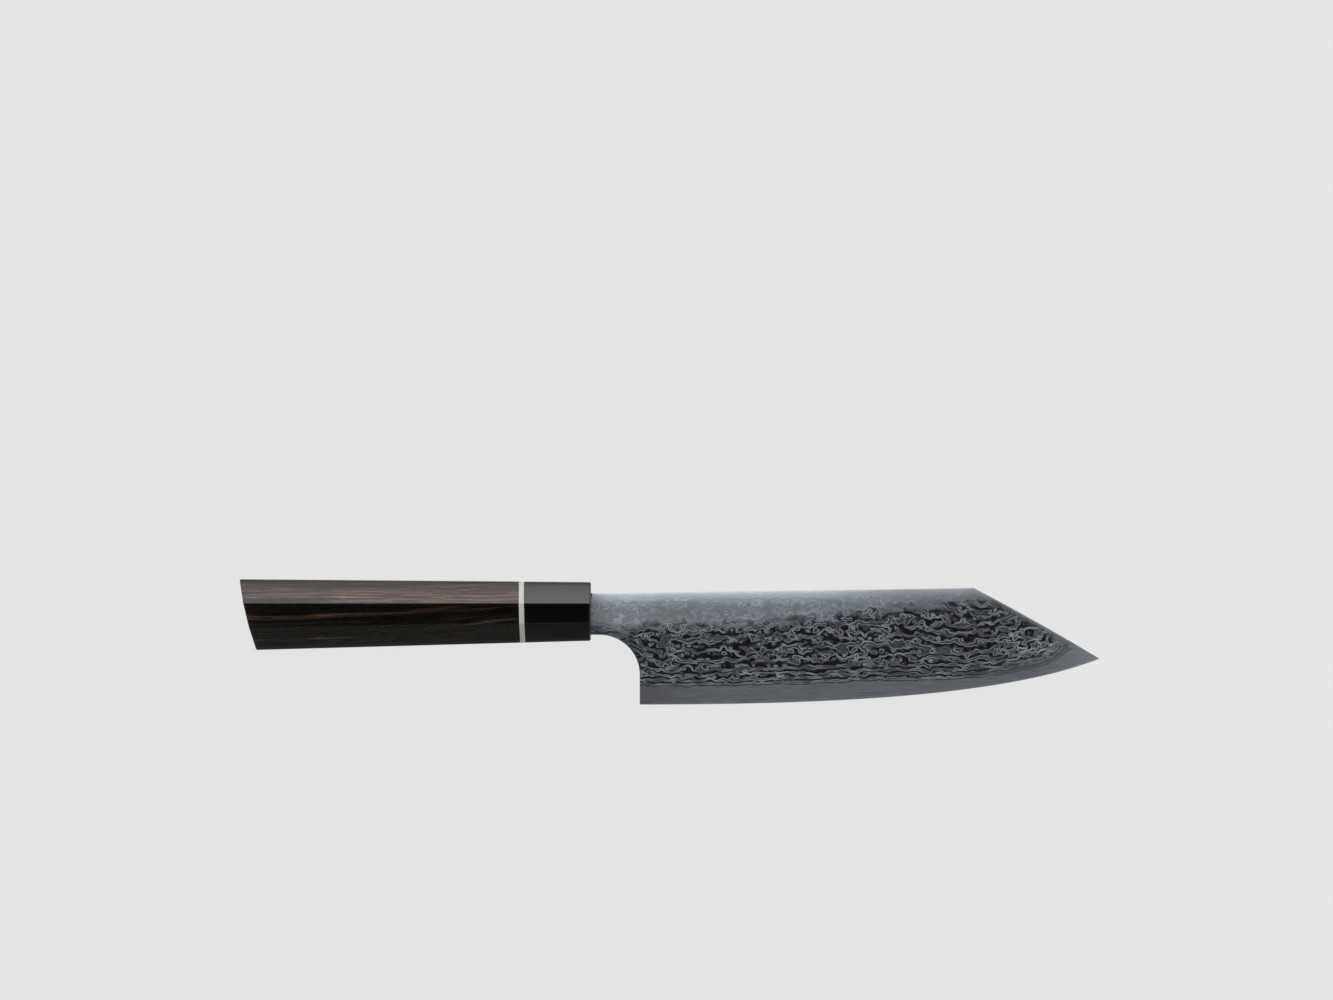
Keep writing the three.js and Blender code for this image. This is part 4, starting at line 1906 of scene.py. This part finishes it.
@dataclass(frozen=True)
class HandleOctagon:
    """Cross-section of the handle and how it grows towards the butt, in millimetres."""

    length: float = 137.6
    width: float = 21.0
    front_top: float = 12.6
    butt_top: float = 13.75
    cheek_top: float = 4.5
    front_cheek_bottom: float = 3.0
    butt_cheek_bottom: float = 5.15
    front_bottom: float = 10.35
    butt_bottom: float = 14.2
    facet_lean: float = math.radians(36.5)
    arris: float = 0.35
    crown: float = 0.07
    arris_steps: int = 4
    facet_steps: int = 6

    def corners(self, x: float) -> list[Vector]:
        """Finds the octagon's corners.

        Args:
            x: Place along the handle.

        Returns:
            The corners as heights and sides, turning one way round.
        """
        share = -x / self.length
        top = self.front_top + (self.butt_top - self.front_top) * share
        cheek_bottom = -self.front_cheek_bottom - (self.butt_cheek_bottom - self.front_cheek_bottom) * share
        bottom = -self.front_bottom - (self.butt_bottom - self.front_bottom) * share
        side = self.width / 2
        top_side = side - (top - self.cheek_top) * math.tan(self.facet_lean)
        bottom_side = side - (cheek_bottom - bottom) * math.tan(self.facet_lean)
        half = [(top, top_side), (self.cheek_top, side), (cheek_bottom, side), (bottom, bottom_side)]
        return [Vector(corner) for corner in [*half, *((y, -z) for y, z in reversed(half))]]

    def loop(self, x: float, inset: float = 0.0) -> list[Point2]:
        """Draws the octagon with rounded arrises and slightly crowned facets.

        Args:
            x: Place along the handle.
            inset: How far the whole outline is drawn in.

        Returns:
            The outline as heights and sides.
        """
        corners = self.corners(x)
        count = len(corners)
        ways = [(corners[(i + 1) % count] - corners[i]).normalized() for i in range(count)]
        inwards = [Vector((-way.y, way.x)) for way in ways]
        turns = [ways[i - 1].angle(ways[i]) for i in range(count)]
        points: list[Point2] = []
        for i in range(count):
            after = (i + 1) % count
            bisector = (inwards[i - 1] + inwards[i]) / (1 + inwards[i - 1].dot(inwards[i]))
            centre = corners[i] + bisector * (self.arris + inset)
            for k in range(self.arris_steps + 1):
                mixed = inwards[i - 1].slerp(inwards[i], k / self.arris_steps)
                points.append(tuple(centre - mixed * (self.arris - self.crown)))
            reach = self.arris + inset
            start = corners[i] + ways[i] * reach * math.tan(turns[i] / 2)
            end = corners[after] - ways[i] * reach * math.tan(turns[after] / 2)
            for k in range(1, self.facet_steps):
                share = k / self.facet_steps
                dip = inset + self.crown * (2 * share - 1) ** 2
                points.append(tuple(start.lerp(end, share) + inwards[i] * dip))
        return points

    def ring(self, x: float, inset: float = 0.0) -> list[Point3]:
        """Returns the outline as points of the drawing, square across the handle."""
        return [(x, y, z) for y, z in self.loop(x, inset)]


@dataclass
class Handle:
    """Ferrule, ring and body of the handle, with the bore that their dowel takes up, in millimetres."""

    octagon: HandleOctagon = field(default_factory=HandleOctagon)
    ferrule_length: float = 25.8
    ring_thickness: float = 2.0
    ring_lean: float = math.radians(1.3)
    butt_angle: float = math.radians(13.4)
    rim_ease: float = 0.5
    joint_ease: float = 0.05
    butt_ease: float = 0.55
    butt_dome: float = 0.12
    dome_shares: tuple[float, ...] = (0.75, 0.45, 0.2)
    waist_front: float = 3.0
    waist_back: float = 12.0
    waist_steps: int = 6
    ferrule_wall: float = 4.0
    bore_radius: float = 6.7
    bore_end: float = 101.0
    bore_steps: int = 48
    slot_height: float = 11.6
    slot_width: float = 2.6
    ease_steps: int = 5

    def bore(self, x: float) -> list[Point3]:
        """Returns the bore's circle at a place along the handle."""
        turns = [2 * math.pi * i / self.bore_steps for i in range(self.bore_steps)]
        return [(x, self.bore_radius * math.cos(turn), self.bore_radius * math.sin(turn)) for turn in turns]

    def slot(self, x: float) -> list[Point3]:
        """Draws the tang's slot across the handle.

        Args:
            x: Place along the handle.

        Returns:
            The slot's corners.
        """
        half_height = self.slot_height / 2
        half_width = self.slot_width / 2
        return [
            (x, half_height, half_width),
            (x, -half_height, half_width),
            (x, -half_height, -half_width),
            (x, half_height, -half_width),
        ]

    def rim(self, x: float, radius: float, way: Way, lean: float = 0.0) -> list[list[Point3]]:
        """Draws the rounded rim of a piece.

        Args:
            x: Place of the piece's end.
            radius: Radius of the rounding.
            way: Way from the end into the piece.
            lean: How far the end leans towards the tip at its lower side, as an angle.

        Returns:
            The loops from the end to the full outline.
        """
        loops = []
        for turn in steps(0.0, math.pi / 2, self.ease_steps):
            place = x + way.value * radius * (1 - math.cos(turn))
            flat = self.octagon.ring(place, radius * (1 - math.sin(turn)))
            loops.append([(along - y * math.tan(lean), y, z) for along, y, z in flat])
        return loops

    def ferrule(self) -> MeshDraft:
        """Draws the ferrule, slotted for the tang and bored for the dowel.

        Returns:
            The mesh.
        """
        draft = MeshDraft()
        front = self.rim(0.0, self.rim_ease, Way.TO_BUTT)
        back = self.rim(-self.ferrule_length, self.joint_ease, Way.TO_TIP, self.ring_lean)
        outer = draft.skin([*front, *reversed(back)])
        slot = draft.skin([self.slot(0.0), self.slot(-self.ferrule_wall)])
        bore = draft.skin([self.bore(-self.ferrule_wall), self.bore(-self.ferrule_length)])
        draft.cover(outer[0], slot[0])
        draft.cover(bore[0], slot[1])
        draft.cover(outer[-1], bore[1])
        return draft

    def ring(self) -> MeshDraft:
        """Draws the ring between the ferrule and the body.

        Returns:
            The mesh.
        """
        draft = MeshDraft()
        front = -self.ferrule_length
        back = front - self.ring_thickness
        first = self.rim(front, self.joint_ease, Way.TO_BUTT, self.ring_lean)
        last = self.rim(back, self.joint_ease, Way.TO_TIP, self.ring_lean)
        outer = draft.skin([*first, *reversed(last)])
        bore = draft.skin([self.bore(front), self.bore(back)])
        draft.cover(outer[0], bore[0])
        draft.cover(outer[-1], bore[1])
        return draft

    def butt_place(self, y: float) -> float:
        """Returns where the slanted butt stands at a height."""
        return -self.octagon.length + (self.octagon.butt_top - y) * math.tan(self.butt_angle)

    def butt_loop(self, forward: float, inset: float) -> list[Point3]:
        """Draws one loop along the slanted butt.

        Args:
            forward: How far in front of the butt's face the loop lies.
            inset: How far the outline is drawn in.

        Returns:
            The loop.
        """
        flat = self.octagon.loop(-self.octagon.length, inset)
        points = []
        for i, (y, _) in enumerate(flat):
            x = self.butt_place(y) + forward
            height, side = self.octagon.loop(x, inset)[i]
            points.append((self.butt_place(height) + forward, height, side))
        return points

    def body(self) -> MeshDraft:
        """Draws the wooden body, bored for the dowel, with its slanted butt.

        Returns:
            The mesh.
        """
        draft = MeshDraft()
        front = -self.ferrule_length - self.ring_thickness
        turns = steps(math.pi / 2, 0.0, self.ease_steps)
        butt = [
            self.butt_loop(self.butt_ease * (1 - math.cos(turn)), self.butt_ease * (1 - math.sin(turn)))
            for turn in turns
        ]
        waist_end = -self.octagon.length + self.waist_back
        waist_places = steps(front - self.waist_front, waist_end, self.waist_steps)
        waist = [self.octagon.ring(x) for x in waist_places]
        outer = draft.skin([*self.rim(front, self.joint_ease, Way.TO_BUTT, self.ring_lean), *waist, *butt])
        middle = sum((Vector(point) for point in butt[-1]), Vector()) / len(butt[-1])
        domes = []
        for share in self.dome_shares:
            rise = Vector((-self.butt_dome * (1 - share * share), 0.0, 0.0))
            domes.append([tuple(middle.lerp(Vector(point), share) + rise) for point in butt[-1]])
        cap = draft.skin([butt[-1], *domes])
        draft.cover(cap[-1])
        bore = draft.skin([self.bore(front), self.bore(-self.bore_end)])
        draft.cover(outer[0], bore[0])
        draft.cover(bore[1])
        return draft

    def build(self, drawing: Drawing) -> None:
        """Builds and dresses the handle's pieces.

        Args:
            drawing: Place of the drawing frame.
        """
        black = BlackFerruleFinish().material("black_ferrule")
        white = WhiteRingFinish().material("white_ring")
        wood = StreakedWood().material("streaked_wood")
        drawing.place(self.ferrule(), "handle_ferrule", black, "black_ferrule", "ferrule")
        drawing.place(self.ring(), "handle_ring", white, "white_ring", "spacer_ring")
        drawing.place(self.body(), "handle_wood", wood, "streaked_wood", "handle_body")


@dataclass
class TangBed:
    """Dowel and adhesive inside the handle, and the bead of adhesive round the neck, in millimetres."""

    neck_half_height: float = BladeOutline.neck_height / 2
    neck_half_width: float = BladeGrind.half_blade
    bead: float = 0.2
    blob: float = 0.42
    blob_reach: float = 0.9
    blob_drop: float = 0.3
    hollow: float = 0.45
    bury: float = 0.04
    side_steps: int = 24
    end_steps: int = 4

    def neck_path(self) -> list[tuple[Vector, Vector]]:
        """Goes round the neck's section.

        Returns:
            Points on it with the way out from each, as heights and sides.
        """
        high = self.neck_half_height
        wide = self.neck_half_width
        corners = [Vector(corner) for corner in ((high, wide), (-high, wide), (-high, -wide), (high, -wide))]
        outs = [Vector(out) for out in ((0, 1), (-1, 0), (0, -1), (1, 0))]
        path = []
        for i, out in enumerate(outs):
            count = self.side_steps if i % 2 == 0 else self.end_steps
            after = corners[(i + 1) % len(corners)]
            diagonal = (outs[i - 1] + out).normalized()
            path.append((corners[i], diagonal))
            path.extend((corners[i].lerp(after, k / count), out) for k in range(1, count))
        return path

    def adhesive_bead(self) -> MeshDraft:
        """Draws the bead of adhesive in the corner between the ferrule and the neck.

        Returns:
            The mesh.
        """
        draft = MeshDraft()
        spine_corner = Vector((self.neck_half_height - self.blob_drop, self.neck_half_width))
        loops = []
        for place, out in self.neck_path():
            away = (place - spine_corner).length / self.blob_reach
            size = self.bead + self.blob * math.exp(-away * away)
            hollow = self.hollow * size
            section = ((-self.bury, -self.bury), (size, -self.bury), (hollow, hollow), (-self.bury, size))
            loops.append([(x, *(place + out * lift)) for x, lift in section])
        draft.skin([*loops, loops[0]])
        return draft

    def build(self, drawing: Drawing, nodes: dict[str, bpy.types.Object]) -> None:
        """Dresses the hidden CAD pieces and adds the bead.

        Args:
            drawing: Place of the drawing frame.
            nodes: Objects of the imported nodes.
        """
        adhesive = BlackAdhesiveFinish().material("black_adhesive")
        finishes = {"joint_dowel": PlainDowelWood().material("dowel_wood"), "tang_adhesive": adhesive}
        for name, finish in finishes.items():
            materials = nodes[name].data.materials
            materials.clear()
            materials.append(finish)
            log.info("kept %s with a new finish", name)
        drawing.place(self.adhesive_bead(), "adhesive_bead", adhesive, "black_adhesive")


# Studio


@dataclass(frozen=True)
class SoftPanel:
    """Soft light panel, by the angles that it fills as seen from the knife, in degrees."""

    bearing: float
    half_width: float
    low: float
    high: float
    radiance: float
    side_fade: float = 28.0
    low_fade: float = 16.0
    high_fade: float = 16.0

    def glow(self, nodes: NodeSheet, way: Sequence[Socket], flat: Socket, rise: Socket) -> Socket:
        """Finds how brightly the panel shines from a direction.

        Args:
            nodes: Sheet of the world.
            way: Parts of the direction along the knife, towards its spine and up.
            flat: Its whole part along the floor.
            rise: Its angle above the floor, in degrees.

        Returns:
            The radiance.
        """
        bearing = math.radians(self.bearing)
        to_spine = nodes.product(way[1], math.cos(bearing))
        ahead = nodes.maths(Maths.MULTIPLY_ADD, way[0], math.sin(bearing), to_spine)
        aside = nodes.maths(Maths.ARCCOSINE, nodes.maths(Maths.DIVIDE, ahead, flat))
        turned = nodes.product(aside, math.degrees(1))
        faded = self.half_width + self.side_fade
        across = nodes.span(turned, self.half_width, faded, self.radiance, 0.0)
        above = nodes.span(rise, self.low - self.low_fade, self.low)
        below = nodes.span(rise, self.high, self.high + self.high_fade, 1.0, 0.0)
        return nodes.product(nodes.product(above, below), across)


@dataclass
class Studio:
    """Pale floor, soft panels under a dark ceiling, and the camera straight above.

    The floor's size is in metres, the camera's place and lens are in millimetres, and the angles at which
    the walls fade are in degrees. The guard keeps the direction straight up from dividing by zero.
    """

    backdrop: float = 0.79
    floor_albedo: float = 0.86
    floor_evenness: float = 0.95
    floor_size: float = 12.0
    ceiling: float = 0.015
    wall: float = 0.15
    horizon: Point2 = (7.5, 9.5)
    wall_fade: Point2 = (14.0, 50.0)
    zenith_guard: float = 1e-6
    panels: tuple[SoftPanel, ...] = (
        SoftPanel(bearing=0.0, half_width=48.0, low=20.0, high=36.0, radiance=3.35, low_fade=12.0),
        SoftPanel(bearing=90.0, half_width=30.0, low=24.0, high=56.0, radiance=0.7),
        SoftPanel(bearing=-90.0, half_width=30.0, low=24.0, high=56.0, radiance=0.7),
        SoftPanel(bearing=180.0, half_width=48.0, low=36.0, high=60.0, radiance=0.8, low_fade=10.0),
    )
    camera_place: Point3 = (29.7, 44.8, 1460.0)
    sensor: float = 36.0
    lens: float = 100.43

    def light(self) -> None:
        """Lights the scene with the panels, the walls and the dark ceiling."""
        world = bpy.data.worlds.new("studio")
        world.use_nodes = True
        bpy.context.scene.world = world
        nodes = NodeSheet(world.node_tree)
        direction = nodes.add("ShaderNodeTexCoord").outputs["Generated"]
        way = nodes.split(direction)
        upward = way[2]
        rise = nodes.product(nodes.maths(Maths.ARCSINE, upward), math.degrees(1))
        square = nodes.maths(Maths.MULTIPLY_ADD, upward, nodes.product(upward, -1.0), 1.0)
        flat = nodes.maths(Maths.POWER, nodes.maths(Maths.MAXIMUM, square, self.zenith_guard), 0.5)
        low_wall = nodes.span(rise, *self.horizon, self.backdrop, self.wall)
        darker = nodes.span(rise, *self.wall_fade, 1.0, self.ceiling / self.wall)
        total = nodes.product(low_wall, darker)
        for panel in self.panels:
            total = nodes.maths(Maths.ADD, total, panel.glow(nodes, way, flat, rise))
        background = nodes.add("ShaderNodeBackground")
        nodes.feed(background.inputs["Color"], total)
        output = nodes.add("ShaderNodeOutputWorld")
        nodes.tree.links.new(background.outputs[0], output.inputs["Surface"])

    def floor(self) -> None:
        """Lays the pale floor, evened out for what sees it and lit for its shadow."""
        half = self.floor_size / 2
        mesh = bpy.data.meshes.new("floor")
        corners = [(-half, -half, 0), (half, -half, 0), (half, half, 0), (-half, half, 0)]
        mesh.from_pydata(corners, [], [(0, 1, 2, 3)])
        plane = bpy.data.objects.new("floor", mesh)
        bpy.context.scene.collection.objects.link(plane)
        material, nodes = new_material("pale_floor")
        lit = nodes.add("ShaderNodeBsdfDiffuse")
        lit.inputs["Color"].default_value = (*[self.floor_albedo] * 3, 1.0)
        even = nodes.add("ShaderNodeEmission")
        even.inputs["Color"].default_value = (*[self.backdrop] * 3, 1.0)
        ray = nodes.add("ShaderNodeLightPath").outputs
        mirrored = nodes.maths(Maths.MAXIMUM, ray["Is Glossy Ray"], ray["Is Transmission Ray"])
        seen = nodes.maths(Maths.MAXIMUM, ray["Is Camera Ray"], mirrored)
        mixed = nodes.add("ShaderNodeMixShader")
        nodes.feed(mixed.inputs[0], nodes.product(seen, self.floor_evenness))
        nodes.tree.links.new(lit.outputs[0], mixed.inputs[1])
        nodes.tree.links.new(even.outputs[0], mixed.inputs[2])
        output = nodes.add("ShaderNodeOutputMaterial")
        nodes.tree.links.new(mixed.outputs[0], output.inputs["Surface"])
        mesh.materials.append(material)

    def camera(self, drawing: Drawing) -> None:
        """Hangs the camera straight above the knife, as in the photograph.

        Args:
            drawing: Place of the drawing frame.
        """
        data = bpy.data.cameras.new("camera")
        data.sensor_width = self.sensor
        data.lens = self.lens
        camera = bpy.data.objects.new("camera", data)
        camera.location = drawing.point(*self.camera_place)
        bpy.context.scene.collection.objects.link(camera)
        bpy.context.scene.camera = camera

    def build(self, drawing: Drawing) -> None:
        """Sets up the light, the floor, the camera and the plain view.

        Args:
            drawing: Place of the drawing frame.
        """
        self.light()
        self.floor()
        self.camera(drawing)
        bpy.context.scene.view_settings.view_transform = "Standard"


def numbers(box: Iterable[Vector]) -> list[list[float]]:
    """Returns a box's corners as plain lists of numbers."""
    return [[float(value) for value in corner] for corner in box]


def main() -> None:
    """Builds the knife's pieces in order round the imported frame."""
    logging.basicConfig(level=logging.INFO, format="%(name)s: %(message)s")
    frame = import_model()
    drawing = Drawing.of_frame()
    Blade().build(drawing)
    Handle().build(drawing)
    TangBed().build(drawing, frame["nodes"])
    Studio().build(drawing)


if __name__ == "__main__":
    main()
